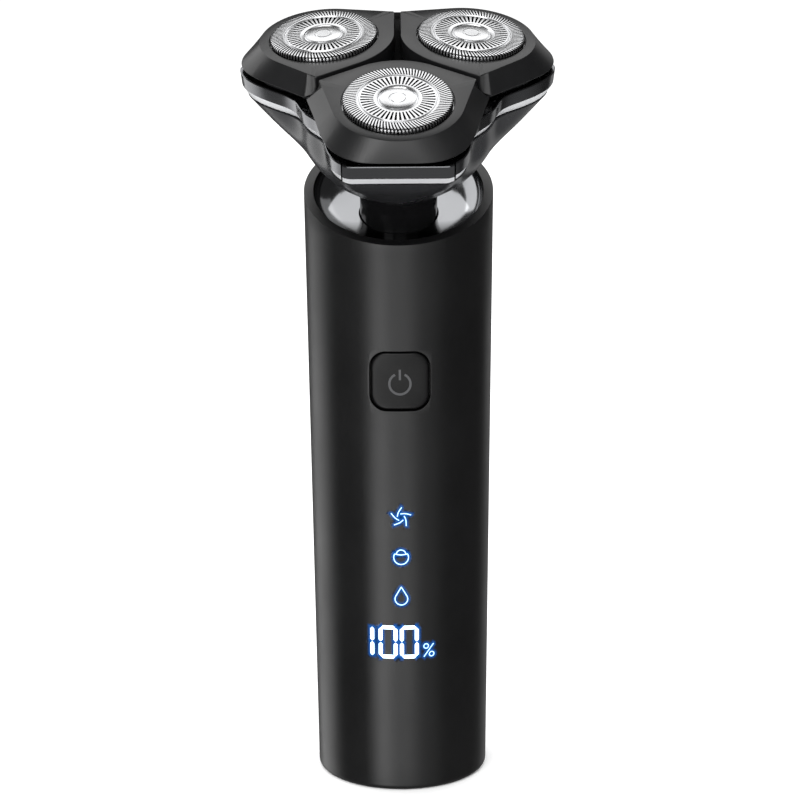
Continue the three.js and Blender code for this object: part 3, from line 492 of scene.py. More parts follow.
# ---------------------------------------------------------------- finishes
# Skin, base colour, tint of the handling marks, least and most roughness, and what differs from plain.
# A base or a glow may name one of the colours, and a tint may be a share of the base.
STEEL_BASE = (0.54, 0.54375, 0.55125)
FINISHES = {
    "shell_black": ("moulded_skin", "shell", 1.35, (0.34, 0.42), {"grain": 3200, "smudge": 45, "bump": 0.12}),
    "smoked_gloss": ("moulded_skin", "smoke", 1.15, (0.24, 0.28), {"grain": 500, "smudge": 40, "bump": 0.0}),
    "neck_gloss": ("moulded_skin", "satin", 1.3, (0.1, 0.16), {"grain": 500, "smudge": 70, "bump": 0.03}),
    "satin_black": ("moulded_skin", "satin", 1.3, (0.3, 0.37), {"grain": 4200, "smudge": 80}),
    "button_black": ("moulded_skin", (0.002, 0.002, 0.0022), (0.003, 0.003, 0.0032), (0.36, 0.42),
                     {"grain": 4200, "bump": 0.08, "specular": 0.26}),
    "hidden_black": ("moulded_skin", (0.003, 0.003, 0.003), (0.004, 0.004, 0.004), (0.7, 0.8),
                     {"grain": 1500, "specular": 0.1}),
    "sign_grey": ("moulded_skin", (0.036, 0.037, 0.04), (0.045, 0.045, 0.048), (0.3, 0.36), {"grain": 3000}),
    "lit_sign": ("moulded_skin", "sign", 1.0, (0.3, 0.35), {"glow": "sign", "strength": 1.0}),
    "lit_digit": ("moulded_skin", "glow", 1.0, (0.3, 0.35), {"glow": "glow", "strength": 2.0}),
    "display_halo": ("moulded_skin", (0, 0, 0), (0.001, 0.001, 0.001), (0.4, 0.45),
                     {"specular": 0.0, "glow": "halo", "strength": 1.0}),
    "dark_chrome": ("drawn_metal", "dark_chrome", 0.92, (0.16, 0.2),
                    {"grain": 120, "smudge": 30, "bump": 0.0, "metallic": 1.0, "stretch": (1, 1, 4)}),
    # Brighter, part-diffuse copy of the trim plating on the lower facet: a painted highlight.
    "bright_facet": ("drawn_metal", "facet", 0.95, (0.3, 0.36),
                     {"grain": 120, "smudge": 30, "bump": 0.0, "metallic": 0.55}),
    "collar_chrome": ("lathe_turned", "collar", 0.9, (0.1, 0.14),
                      {"grain": 300, "smudge": 40, "bump": 0.0, "metallic": 1.0}),
    "guard_steel": ("lathe_turned", "steel", 0.88, (0.2, 0.32),
                    {"grain": 5200, "smudge": 150, "bump": 0.12, "metallic": 1.0}),
    # Steel darkened as painted shade: it stands for the shade inside the head, on the cutters and on the
    # underside and slot edges of the guards.
    "dark_steel": ("drawn_metal", (0.03, 0.031, 0.033), (0.024, 0.024, 0.027), (0.4, 0.5),
                   {"bump": 0.12, "metallic": 1.0, "stretch": (1, 6, 1)}),
    "drawn_steel": ("drawn_metal", STEEL_BASE, 0.8, (0.22, 0.36),
                    {"grain": 1800, "metallic": 1.0, "stretch": (1, 1, 8)}),
    "moulded_grey": ("moulded_skin", (0.045, 0.047, 0.05), (0.035, 0.036, 0.038), (0.45, 0.6),
                     {"grain": 2200, "bump": 0.15}),
    "soft_rubber": ("moulded_skin", (0.012, 0.012, 0.012), (0.02, 0.02, 0.02), (0.65, 0.8),
                    {"grain": 1500, "bump": 0.2, "specular": 0.3}),
    "board_green": ("moulded_skin", (0.008, 0.09, 0.035), (0.012, 0.14, 0.05), (0.25, 0.35),
                    {"grain": 900, "bump": 0.12}),
    "turned_brass": ("lathe_turned", (0.6, 0.42, 0.16), (0.5, 0.34, 0.12), (0.2, 0.35),
                     {"grain": 3000, "bump": 0.12, "metallic": 1.0}),
    "gear_acetal": ("moulded_skin", (0.72, 0.7, 0.63), (0.66, 0.64, 0.57), (0.3, 0.42),
                    {"grain": 1200, "bump": 0.08}),
    "cell_sleeve": ("moulded_skin", (0.02, 0.1, 0.3), (0.03, 0.13, 0.36), (0.25, 0.35),
                    {"grain": 800, "bump": 0.06}),
    "light_bar": ("moulded_skin", (0.75, 0.82, 0.9), (0.68, 0.76, 0.86), (0.15, 0.25),
                  {"grain": 600, "bump": 0.04}),
}
PLAIN = {"grain": 2500, "smudge": 60, "bump": 0.1, "metallic": 0.0, "specular": 0.5, "stretch": (1, 1, 1),
         "glow": None, "strength": 0.0}
RELIEF = 0.00002
SLOT_FINISHES = {
    "shell": "shell_black", "gloss": "neck_gloss", "satin": "satin_black", "chrome": "dark_chrome",
    "steel": "drawn_steel", "inner": "moulded_grey", "rubber": "soft_rubber", "board": "board_green",
    "brass": "turned_brass", "gear": "gear_acetal", "cell": "cell_sleeve", "light": "light_bar",
}


def paint(colour_or_name):
    """Colour, given as itself or by the name of its setting."""
    if isinstance(colour_or_name, str):
        return tuple(getattr(colours(), colour_or_name))
    return colour_or_name


def finish(kind, name=None, place=None):
    """Node material of a finish, made once and shared. Its pattern may sit on a place of its own."""
    name = name or kind
    if name in bpy.data.materials:
        return bpy.data.materials[name]
    group, base, tint, rough, own = FINISHES[kind]
    wanted = {**PLAIN, **own}
    base = paint(base)
    if isinstance(tint, float):
        tint = tuple(min(channel * tint, 1.0) for channel in base)
    material = bpy.data.materials.new(name)
    material.use_nodes = True
    tree = material.node_tree
    where = node(tree, "ShaderNodeTexCoord").outputs["Object"]
    mapping = node(tree, "ShaderNodeMapping", {"Vector": where, "Scale": wanted["stretch"]})
    if place is not None:
        inward = place.inverted()
        feed(tree, mapping, {"Location": inward.to_translation() * MM, "Rotation": inward.to_euler()})
    skin = node(tree, "ShaderNodeGroup", {
        "Vector": mapping.outputs["Vector"], "Colour": (*base, 1), "Tint": (*tint, 1),
        "Grain Scale": wanted["grain"], "Smudge Scale": wanted["smudge"],
        "Roughness Low": rough[0], "Roughness High": rough[1],
    }, node_tree=skin_group(group)).outputs
    relief = node(tree, "ShaderNodeBump", {
        "Strength": wanted["bump"], "Distance": RELIEF, "Height": skin["Height"],
    })
    shader = tree.nodes["Principled BSDF"]
    feed(tree, shader, {
        "Base Color": skin["Colour"], "Roughness": skin["Roughness"], "Normal": relief.outputs["Normal"],
        "Metallic": wanted["metallic"], "Specular IOR Level": wanted["specular"], "Coat Roughness": 0.05,
    })
    if wanted["glow"]:
        light = (*paint(wanted["glow"]), 1)
        feed(tree, shader, {"Emission Color": light, "Emission Strength": wanted["strength"]})
    return material


def collar_painted_reflection_finish():
    """Plating with a painted reflection of the head's dark underside: its colour darkens towards the front of
    the dish, under the head.
    """
    material = finish("collar_chrome", place=head_place())
    tree = material.node_tree
    # Painted reflection: the front of the dish is blended towards near-black, for the dark head it mirrors.
    start, end, most, dark = -0.0035, -0.0085, 0.97, (0.006, 0.006, 0.007, 1)
    across = node(tree, "ShaderNodeSeparateXYZ", {0: tree.nodes["Mapping"].outputs["Vector"]}).outputs["Y"]
    share = ranged(tree, across, start, end, 0.0, most)
    painted_reflection = blended(tree, share, tree.nodes["Group"].outputs["Colour"], dark)
    feed(tree, tree.nodes["Principled BSDF"], {"Base Color": painted_reflection})
    return material


def halo_finish():
    """Blue haze that fades out from each lit stroke."""
    material = finish("display_halo")
    tree = material.node_tree
    fade = node(tree, "ShaderNodeAttribute", attribute_name="fade").outputs["Fac"]
    soft = node(tree, "ShaderNodeMath", {0: fade, 1: 1.6}, operation="POWER").outputs[0]
    feed(tree, tree.nodes["Principled BSDF"], {"Alpha": ranged(tree, soft, 0.0, 1.0, 0.0, 0.5)})
    return material


# ---------------------------------------------------------------- handle
class SHAVER_OT_handle_shell(bpy.types.Operator):
    """Tapered shell with a slanted rim and an opening for the button"""

    bl_idname = "shaver.handle_shell"
    bl_label = "Handle Shell"

    def execute(self, context):
        sizes = handle()
        top = sizes.rim_height + sizes.rim_radius
        rnd = sizes.base_round
        floor_inner = shell_radius(0) - sizes.wall
        outside = [
            (shell_radius(rnd) - rnd * (1 - math.sin(a)), rnd * (1 - math.cos(a)))
            for a in [math.radians(15 * i) for i in range(1, 7)]
        ]
        rows = 32
        heights = [rnd + (top - rnd) * (i + 1) / rows for i in range(rows)]
        outside += [(shell_radius(z), z) for z in heights]
        inside = [(shell_radius(z) - sizes.wall, z) for z in reversed(heights)]
        profile = [(floor_inner, 0), (shell_radius(rnd) - rnd, 0)] + outside + inside
        bm = spun(profile, steps=160)
        tilt = sizes.head_tilt
        up = Vector((0, -math.sin(tilt), math.cos(tilt)))
        centre = Vector((0, 0, sizes.rim_height))
        cut_off(bm, centre, up)
        bmesh.ops.bridge_loops(bm, edges=[edge for edge in bm.edges if edge.is_boundary])
        bmesh.ops.recalc_face_normals(bm, faces=bm.faces)

        def at_rim(edge):
            return all(abs((vert.co - centre).dot(up)) < 1e-3 for vert in edge.verts)

        soften(bm, sizes.rim_round, 3, 40, at_rim)
        bm = carved(bm, self.opening_tool())
        bm = carved(bm, self.window_tool())
        near = sizes.button_width / 2 + sizes.button_gap + 0.2

        def on_opening(edge):
            middle = (edge.verts[0].co + edge.verts[1].co) / 2
            front = middle.y < shell_front(middle.x, middle.z, -0.05)
            return front and abs(middle.x) < near and abs(middle.z - sizes.button_height) < near

        soften(bm, 0.16, 2, 45, on_opening)
        finished(bm, "shell", finish("shell_black"), "handle", ["handle_shell"])
        return {"FINISHED"}

    def opening_tool(self):
        sizes = handle()
        half = sizes.button_width / 2 + sizes.button_gap
        corner = sizes.button_corner + sizes.button_gap
        rows = [rounded_row(half, corner, depth) for depth in (-sizes.rim_radius - 4, -9.0)]
        return cap_ends(lofted(rows, 96, close_section=False))

    def window_tool(self):
        """Pocket behind the lit panel."""
        low, high, half, skin = 27.0, 68.0, 8.4, 0.8
        bm = spun([(0, low), (shell_radius(low) - skin, low), (shell_radius(high) - skin, high), (0, high)],
                  closed=False, steps=120)
        for point, outward in (((half, 0, 0), (1, 0, 0)), ((-half, 0, 0), (-1, 0, 0)), ((0, -10, 0), (0, 1, 0))):
            cap_ends(cut_off(bm, point, outward))
        return bm


def rounded_reach(turn, half, corner):
    """Distance from the middle of a rounded square to its outline."""
    c, s = abs(math.cos(turn)), abs(math.sin(turn))
    straight = half / max(c, s)
    inner = half - corner
    if straight * min(c, s) <= inner:
        return straight
    along = inner * (c + s)
    return along + math.sqrt(max(corner**2 - (inner * (c - s)) ** 2, 0.0))


def rounded_row(half, corner, depth, share=1.0):
    """Rounded square in the XZ plane at one depth, or wrapped on the shell by a function."""

    def point(turn):
        reach = rounded_reach(turn, half, corner) * share
        x, up = reach * math.cos(turn), reach * math.sin(turn)
        z = handle().button_height + up
        return (x, depth(x, z) if callable(depth) else depth, z)

    return point


BUTTON_ROWS = [  # share of the outline, lift from the shell surface
    (1.0, -1.2), (1.0, -0.62), (0.992, -0.42), (0.975, -0.27), (0.95, -0.19), (0.92, -0.17),
    (0.85, -0.2), (0.7, -0.3), (0.55, -0.39), (0.4, -0.46), (0.25, -0.5), (0.1, -0.52), (0.01, -0.52),
]


def button_lift(share):
    """Lift of the button face at a share of its outline."""
    rows = BUTTON_ROWS[::-1]
    for (s0, l0), (s1, l1) in zip(rows, rows[1:]):
        if share <= s1:
            return l0 + (l1 - l0) * max(share - s0, 0.0) / max(s1 - s0, 1e-9)
    return rows[-1][1]


class SHAVER_OT_power_button(bpy.types.Operator):
    """Power button with its hollow face, flange, stem and sign"""

    bl_idname = "shaver.power_button"
    bl_label = "Power Button"

    def execute(self, context):
        sizes = handle()
        half, corner = sizes.button_width / 2, sizes.button_corner
        flange_front, flange_back, stem_end = -15.0, -14.2, -13.95
        rows = [rounded_row(half + 0.9, corner + 0.9, flange_back),
                rounded_row(half + 0.9, corner + 0.9, flange_front),
                rounded_row(half, corner, flange_front)]
        for share, lift in BUTTON_ROWS:
            rows.append(rounded_row(half, corner, lambda x, z, lift=lift: shell_front(x, z, lift), share))
        bm = cap_ends(lofted(rows, 128, close_section=False))
        middle = sizes.button_height
        added(bm, rod(2.0, (0, flange_back - 0.3, middle), (0, stem_end, middle)))
        finished(bm, "button", finish("button_black"), "power_button", ["power_button"])
        self.sign(middle)
        return {"FINISHED"}

    def sign(self, middle):
        """Open ring with a stem, laid on the hollow face."""
        sizes, radius, half_gap, width = handle(), 2.2, 27, 0.48
        ring = arc_points((0.0, middle - 0.6), radius, 90 + half_gap, 450 - half_gap, 49)
        bm = stroke(ring, width)
        added(bm, stroke([(0, middle + 2.45 - 0.28 * i) for i in range(9)], width))

        def on_face(x, z):
            up = z - middle
            reach = rounded_reach(math.atan2(up, x), sizes.button_width / 2, sizes.button_corner)
            return shell_front(x, z, button_lift(math.hypot(x, up) / reach) + 0.03)

        wrap(bm, on_face)
        finished(bm, "button_sign", finish("sign_grey"), "power_button")


# ---------------------------------------------------------------- lit display
def stroke(points, width, closed=False, haze=0.0, pointed=False):
    """Flat stroke along points in the XZ plane. With a haze it fades out past its edges and its ends."""
    if haze and not closed:
        first, last = (Vector(points[a]) - Vector(points[b]) for a, b in ((0, 1), (-1, -2)))
        points = [Vector(points[0]) + first.normalized() * haze, *points,
                  Vector(points[-1]) + last.normalized() * haze]
    count = len(points)

    def edge(off):
        def point(turn):
            i = round(turn)
            before = points[i - 1] if closed or i else points[i]
            after = points[(i + 1) % count] if closed or i < count - 1 else points[i]
            along = Vector((after[0] - before[0], after[1] - before[1])).normalized()
            reach = 0.0 if pointed and i in (0, count - 1) else off
            return (points[i][0] - along.y * reach, 0, points[i][1] + along.x * reach)

        return point

    half = width / 2
    offs = (half + haze, half, -half, -half - haze) if haze else (half, -half)
    bm = lofted([edge(off) for off in offs], chain=range(count), closed=closed, close_section=False)
    if haze:
        fade = bm.verts.layers.float.new("fade")
        for vert in bm.verts:
            vert[fade] = 0.0 if vert.is_boundary else 1.0
    return bm


def bar(start, end, width, haze):
    """Digit segment with pointed ends, cut across so that it can be wrapped."""
    if haze:
        return stroke([start, end], width, haze=haze)
    start, end, cells = Vector(start), Vector(end), 6
    tip = (end - start).normalized() * width / 2
    inner = [start + (end - start) * i / cells for i in range(1, cells)]
    return stroke([start, start + tip, *inner, end - tip, end], width, pointed=True)


def wrap(bm, surface, thickness=0.03):
    """Lays a flat sign on a surface, given as Y by width and height, and gives it a thickness."""
    bmesh.ops.remove_doubles(bm, verts=bm.verts, dist=1e-4)
    for vert in bm.verts:
        vert.co.y = surface(vert.co.x, vert.co.z)
    bmesh.ops.recalc_face_normals(bm, faces=bm.faces)
    backwards = [face for face in bm.faces if face.normal.y > 0]
    bmesh.ops.reverse_faces(bm, faces=backwards)
    made = bmesh.ops.extrude_face_region(bm, geom=bm.faces[:])["geom"]
    front = [item for item in made if isinstance(item, bmesh.types.BMVert)]
    bmesh.ops.translate(bm, vec=(0, -thickness, 0), verts=front)
    bmesh.ops.recalc_face_normals(bm, faces=bm.faces)
    return bm


def arc_points(centre, radius, start, end, count=24, squash=1.0):
    """Points along an arc, in degrees."""
    turns = [math.radians(start + (end - start) * i / (count - 1)) for i in range(count)]
    return [(centre[0] + radius * math.cos(a), centre[1] + squash * radius * math.sin(a)) for a in turns]


class SHAVER_OT_display(bpy.types.Operator):
    """Lit signs and digits under the front of the handle"""

    bl_idname = "shaver.display"
    bl_label = "Lit Display"

    LINE = 0.19
    HAZE = 0.75

    def execute(self, context):
        signs = {
            "sign_fan": (self.fan, "lit_sign"),
            "sign_bowl": (self.bowl, "lit_sign"),
            "sign_drop": (self.drop, "lit_sign"),
            "digits": (self.digits, "lit_digit"),
            "percent": (self.percent, "lit_sign"),
        }
        halo = halo_finish()
        for name, (shape, lit) in signs.items():
            bm = wrap(shape(0.0), lambda x, z: shell_front(x, z, 0.03))
            finished(bm, name, finish(lit), "handle")
            bm = wrap(shape(self.HAZE), lambda x, z: shell_front(x, z, 0.012), 0.008)
            finished(bm, f"{name}_halo", halo, "handle")
        return {"FINISHED"}

    def fan(self, haze):
        bm = bmesh.new()
        blade = curve_through([(-0.74, 0.16), (-0.5, 1.1), (0.2, 2.2)], 6)
        for k in range(5):
            turn = -TURN * k / 5
            c, s = math.cos(turn), math.sin(turn)
            points = [(x * c - z * s, 61.5 + x * s + z * c) for x, z in blade]
            added(bm, stroke(points, self.LINE, haze=haze))
        return bm

    def bowl(self, haze):
        line_z, reach = 53.45, 1.56
        low = arc_points((0, line_z - 0.75), reach, 27, -207, 40)
        sag = curve_through([(-1.39, line_z), (0, line_z - 0.2), (1.39, line_z)], 10)
        dome = arc_points((0, line_z - 0.12), 1.0, 4, 176, 24)
        bm = stroke(low, self.LINE, haze=haze)
        return added(bm, stroke(sag, self.LINE, haze=haze), stroke(dome, self.LINE, haze=haze))

    def drop(self, haze):
        middle, radius, tip = 43.5, 1.34, 46.15
        lean = math.degrees(math.acos(radius / (tip - middle)))
        outline = arc_points((0, middle), radius, 90 - lean, -270 + lean, 40)
        start, end = outline[0], outline[-1]
        down = [(end[0] * (1 - t), end[1] + (tip - end[1]) * t) for t in (0.25, 0.5, 0.75, 0.95)]
        up = [(start[0] * (1 - t), start[1] + (tip - start[1]) * t) for t in (0.95, 0.75, 0.5, 0.25)]
        return stroke(outline + down + [(0, tip)] + up, self.LINE, closed=True, haze=haze)

    def digits(self, haze):
        low, high, width = 30.15, 37.5, 0.82
        middle, gap, inset = (low + high) / 2, 0.1, width / 2
        bars = [((-6.26, middle + gap), (-6.26, high - 0.5)), ((-6.26, low + 0.5), (-6.26, middle - gap))]
        for centre in (-2.88, 1.63):
            left, right = centre - 2.0 + inset, centre + 2.0 - inset
            for x in (left, right):
                bars.append(((x, middle + gap), (x, high - inset - gap)))
                bars.append(((x, low + inset + gap), (x, middle - gap)))
            for z in (low + inset, high - inset):
                bars.append(((left + gap, z), (right - gap, z)))
        bm = bmesh.new()
        for start, end in bars:
            added(bm, bar(start, end, width, haze))
        return bm

    def percent(self, haze):
        slash = [(4.72 + 2.05 * i / 8, 30.35 + 2.8 * i / 8) for i in range(9)]
        bm = stroke(slash, self.LINE, haze=haze)
        for centre in ((5.2, 32.7), (6.36, 30.85)):
            ring = arc_points(centre, 0.5, 0, 345, 24)
            added(bm, stroke(ring, self.LINE, closed=True, haze=haze))
        return bm


# ---------------------------------------------------------------- neck
class SHAVER_OT_neck(bpy.types.Operator):
    """Dished collar inside the rim and the post through it"""

    bl_idname = "shaver.neck"
    bl_label = "Neck and Collar"

    def execute(self, context):
        self.collar()
        self.post()
        return {"FINISHED"}

    def collar(self):
        """Quarter-ellipse dish from the neck to the shell wall, where it meets the tapered wall."""
        sizes, top = handle(), crown()
        tilt = sizes.head_tilt
        hole = top.neck_radius + 0.3
        rim, thick = 0.6, 1.2

        def row(turn_share, drop):
            z = -rim - top.dish_depth * math.cos(turn_share) - drop
            reach = math.sin(turn_share)

            def point(turn):
                height = sizes.rim_height + z * math.cos(tilt)
                wall = shell_radius(height) - sizes.wall - 0.12
                wide = hole + (wall - hole) * reach
                long = hole + (wall / math.cos(tilt) - hole) * reach
                shift = z * math.tan(tilt) * reach
                return (wide * math.cos(turn), long * math.sin(turn) + shift, z)

            return point

        steps = 18
        shares = [math.pi / 2 * i / steps for i in range(steps + 1)]
        rows = [row(share, 0.0) for share in shares] + [row(share, thick) for share in reversed(shares)]
        bm = lofted(rows, 192)
        finished(bm, "collar", collar_painted_reflection_finish(), "handle", ["neck_collar"], place=head_place())

    def post(self):
        radius, high, low, bore = crown().neck_radius, 8.0, -11.0, 4.4
        upper = radius - 1.8
        profile = [
            (bore, high), (bore, -2), (bore + 3.2, low), (radius + 2.6, low), (radius + 2.6, low + 1.4),
            (radius, low + 2.8), (radius, 1.5), (radius - 0.15, 1.85), (radius - 0.5, 2.0),
            (upper, 2.0), (upper, high - 0.2), (upper - 0.2, high),
        ]
        bm = spun(profile, steps=128)
        pivot, pin, reach = 6.0, 0.9, upper + 2.1
        for side in (-1, 1):
            added(bm, rod(pin, (side * (upper - 0.6), 0, pivot), (side * reach, 0, pivot)))
        finished(bm, "post", finish("neck_gloss"), "handle", ["neck_post"], place=head_place())


# ---------------------------------------------------------------- head
LOBE_MEAN = 1.5807        # mean radius of the outline, as a share of the cutter pitch
LOBE_WAVES = {3: 6.4, 6: -0.9, 9: -1.5}
LOBE_FLAT = 4.05          # flat front of a lobe, outside the mean radius
LOBE_FLAT_HALF = 10       # degrees on each side that are always flat


def trefoil(turn, inset=0.0):
    """Three-lobed outline with a lobe at each petal."""
    a = turn + math.pi / 2
    mean = LOBE_MEAN * crown().cutter_pitch
    off = (math.degrees(a) + 60) % 120 - 60
    flat = (mean + LOBE_FLAT) / math.cos(math.radians(off))
    if abs(off) < LOBE_FLAT_HALF:
        return flat - inset
    return min(mean + sum(size * math.cos(n * a) for n, size in LOBE_WAVES.items()), flat) - inset


def lobe_radius():
    return trefoil(-math.pi / 2)


def bowl_row(radius, z):
    """Round at the neck, three-lobed at the trim."""
    round_below, top = 6.6, crown().trim_low - 0.3
    share = share_of(z, round_below, top)
    share = share * share * (3 - 2 * share) * 0.35 + share * 0.65
    lobe = lobe_radius()
    return ring_row(lambda turn: radius * (1 + share * (trefoil(turn) / lobe - 1)), z)


class SHAVER_OT_head_housing(bpy.types.Operator):
    """Bowl of the head with its screw posts and hinge lugs"""

    bl_idname = "shaver.head_housing"
    bl_label = "Head Housing"

    def execute(self, context):
        top = crown()
        high = top.trim_low - 0.3
        hole = top.neck_radius + 2
        lip = lobe_radius() - 1.4
        line = [(hole, 3.8), (hole + 2.6, 4.5), (hole + 5.3, 6.6), (lip - 10.5, 10.4), (lip - 4.9, 15),
                (lip, high)]
        inside = [(lip - 1.4, high), (lip - 6.5, 15.4), (lip - 12.3, 10.9), (12.5, 7.2), (11.5, 5.4),
                  (hole, 5.1)]
        bm = lofted([bowl_row(r, z) for r, z in curve_through(line, 6) + curve_through(inside, 3)], 192)
        pivot, lug_in, lug_out = 6.0, 9.3, 11.3
        for side in (-1, 1):
            low, far = sorted((side * lug_in, side * (lug_out + 1.6)))
            added(bm, box((-2.4, low, 4.7), (2.4, far, pivot + 2.4)))
        for angle in map(math.radians, GAP_ANGLES):
            x, y = 14 * math.cos(angle), 14 * math.sin(angle)
            added(bm, rod(2.2, (x, y, 8), (x, y, high)))
        rear = trefoil(math.pi / 2)
        hinge_y, hinge_z, barrel = rear + 3.5, 26.6, 1.5
        for side in (-1, 1):
            low, far = sorted((side * 2.2, side * 4.2))
            lug = added(box((low, rear - 3.5, high - 2.4), (far, hinge_y + barrel, high - 0.2)))
            upright = box((low, rear + 0.5, high - 2.4), (far, hinge_y + barrel, hinge_z))
            added(bm, lug, soften(upright, 0.25), rod(barrel, (low, hinge_y, hinge_z), (far, hinge_y, hinge_z)))
        finished(bm, "head_bowl", finish("smoked_gloss"), "head", ["head_housing"], place=head_place())
        return {"FINISHED"}


class SHAVER_OT_head_trim(bpy.types.Operator):
    """Plated trim band and the release tab set in its front"""

    bl_idname = "shaver.head_trim"
    bl_label = "Trim Band and Tab"

    def execute(self, context):
        half, gap = crown().tab_width / 2, 0.3
        front = -2 * lobe_radius()
        pieces = [  # name, body, node, how far it stands proud, half of the cutting block, cut
            ("trim_band", "head", "head_trim", 0.0, half + gap, "DIFFERENCE"),
            ("tab", "release_tab", "release_tab", 0.3, half, "INTERSECT"),
        ]
        for name, body, replaced, proud, reach, cut in pieces:
            bm = carved(self.band(proud), box((-reach, front, 10), (reach, -10, 40)), cut)
            plated = finish("dark_chrome")
            self.bright_facet(finished(bm, name, plated, body, [replaced], 12, head_place()))
        return {"FINISHED"}

    def bright_facet(self, piece):
        """Second finish on the outer faces of the lower facet: a brighter, part-diffuse copy of the trim
        plating, a painted highlight that keeps the facet light from every side.
        """
        top, skin = crown(), 1.6
        piece.data.materials.append(finish("bright_facet"))
        inward = head_place().inverted()
        for face in piece.data.polygons:
            spot = inward @ (face.center / MM)
            outside = math.hypot(spot.x, spot.y) > trefoil(math.atan2(spot.y, spot.x), skin)
            if outside and top.trim_low < spot.z < top.trim_low + top.trim_chamfer:
                face.material_index = 1

    def band(self, proud):
        top = crown()
        low, high, facet, wall = top.trim_low, top.trim_high, top.trim_chamfer, 2.0
        rows = [
            (0.22, high), (0.07, high - 0.07), (0.0, high - 0.25), (0.26, low + facet + 0.25),
            (0.3, low + facet), (1.38, low + 0.12), (1.5, low), (wall + 0.6, low), (wall, high),
        ]
        return lofted([ring_row(lambda t, i=inset: trefoil(t, i - proud), z) for inset, z in rows], 288)


# ---------------------------------------------------------------- petals and guards
def folded(turn):
    return abs(math.atan2(math.sin(turn), math.cos(turn)))


def slot_edge(turn):
    """Straight side of a petal along the slot, then the arc that meets the next petal."""
    side = crown().cutter_pitch * math.cos(math.radians(30)) - crown().petal_gap / 2
    meet = math.radians(150)
    return side if turn > meet else side / math.cos(meet - turn)


def smoothed(outline, width=11.0):
    """Outline with its corners rounded, except along the slots."""

    def point(turn):
        spread = math.radians(width) * share_of(math.degrees(folded(turn)), 98, 76)
        return sum(outline(turn + spread * k / 5) * (6 - abs(k)) for k in range(-5, 6)) / 36

    return point


def plate_outline(turn):
    """Edge of the flat plate, about the guard centre."""
    turn, arc, corner = folded(turn), crown().petal_arc, math.radians(75.6)
    if turn <= corner:
        return arc
    side = arc / math.cos(turn - corner) if turn < math.radians(150) else math.inf
    return min(side, slot_edge(turn))


def skirt_outline(turn):
    """Lower edge of the slanted sides, about the guard centre."""
    turn, arc = folded(turn), crown().petal_arc
    far_end, corner, flank, flank_turn = 2.2, 4.2, 2.85, math.radians(75.3)
    reach = math.inf
    if turn < math.radians(60):
        reach = min((arc + far_end) / math.cos(turn), arc + corner)
    elif turn < math.radians(62):
        reach = arc + corner
    if turn < math.radians(150):
        reach = min(reach, (arc + flank) / math.cos(turn - flank_turn))
    if turn > math.radians(90):
        reach = min(reach, slot_edge(turn))
    return reach


class SHAVER_OT_petals(bpy.types.Operator):
    """Three petals: flat plate, slanted sides and a lip under them"""

    bl_idname = "shaver.petals"
    bl_label = "Petals"

    def execute(self, context):
        hole = crown().guard_radius + 0.3
        plate, skirt = smoothed(plate_outline, 4.0), smoothed(skirt_outline, 17.0)
        rows = [
            (lambda t: hole, -1.02), (lambda t: hole + 0.12, -0.9), (lambda t: plate(t) - 0.14, -0.9),
            (lambda t: plate(t) - 0.03, -0.94), (lambda t: plate(t) + 0.04, -1.03),
            (lambda t: skirt(t) - 0.05, -4.38), (lambda t: skirt(t), -4.5),
            (lambda t: skirt(t) - 0.06, -4.62), (lambda t: skirt(t) - 1.0, -4.66),
            (lambda t: skirt(t) - 1.02, -5.1), (lambda t: skirt(t) - 1.9, -5.1),
            (lambda t: plate(t) - 1.4, -1.9), (lambda t: hole, -1.9),
        ]
        for side in PETAL_ANGLES:
            bm = lofted([ring_row(reach, z) for reach, z in rows], 480)
            finished(bm, f"petal_plate_{side}", finish("satin_black"), f"petal_{side}",
                     [f"petal_{side}"], 24, petal_place(side))
        return {"FINISHED"}


GUARD_ROWS = [  # radius and height of the pressed steel cap, from the middle outwards
    (0.0, 0.0), (1.45, 0.0), (1.55, -0.07), (1.75, -0.07), (1.85, 0.0), (3.4, -0.03), (3.62, -0.12),
    (3.7, -0.36), (3.95, -0.4), (4.12, -0.16), (4.3, -0.08), (4.85, -0.06), (6.2, -0.06), (7.5, -0.06),
    (7.72, -0.08), (7.86, -0.32), (8.1, -0.32), (8.22, -0.08), (8.36, -0.06), (9.4, -0.06), (10.4, -0.06),
    (10.72, -0.1), (10.92, -0.24), (11.0, -0.5), (11.0, -1.25), (11.0, -2.2), (11.8, -2.25), (11.8, -2.6),
]
INNER_SLOTS = (4.85, 7.5)
OUTER_SLOTS = (8.36, -1.25)


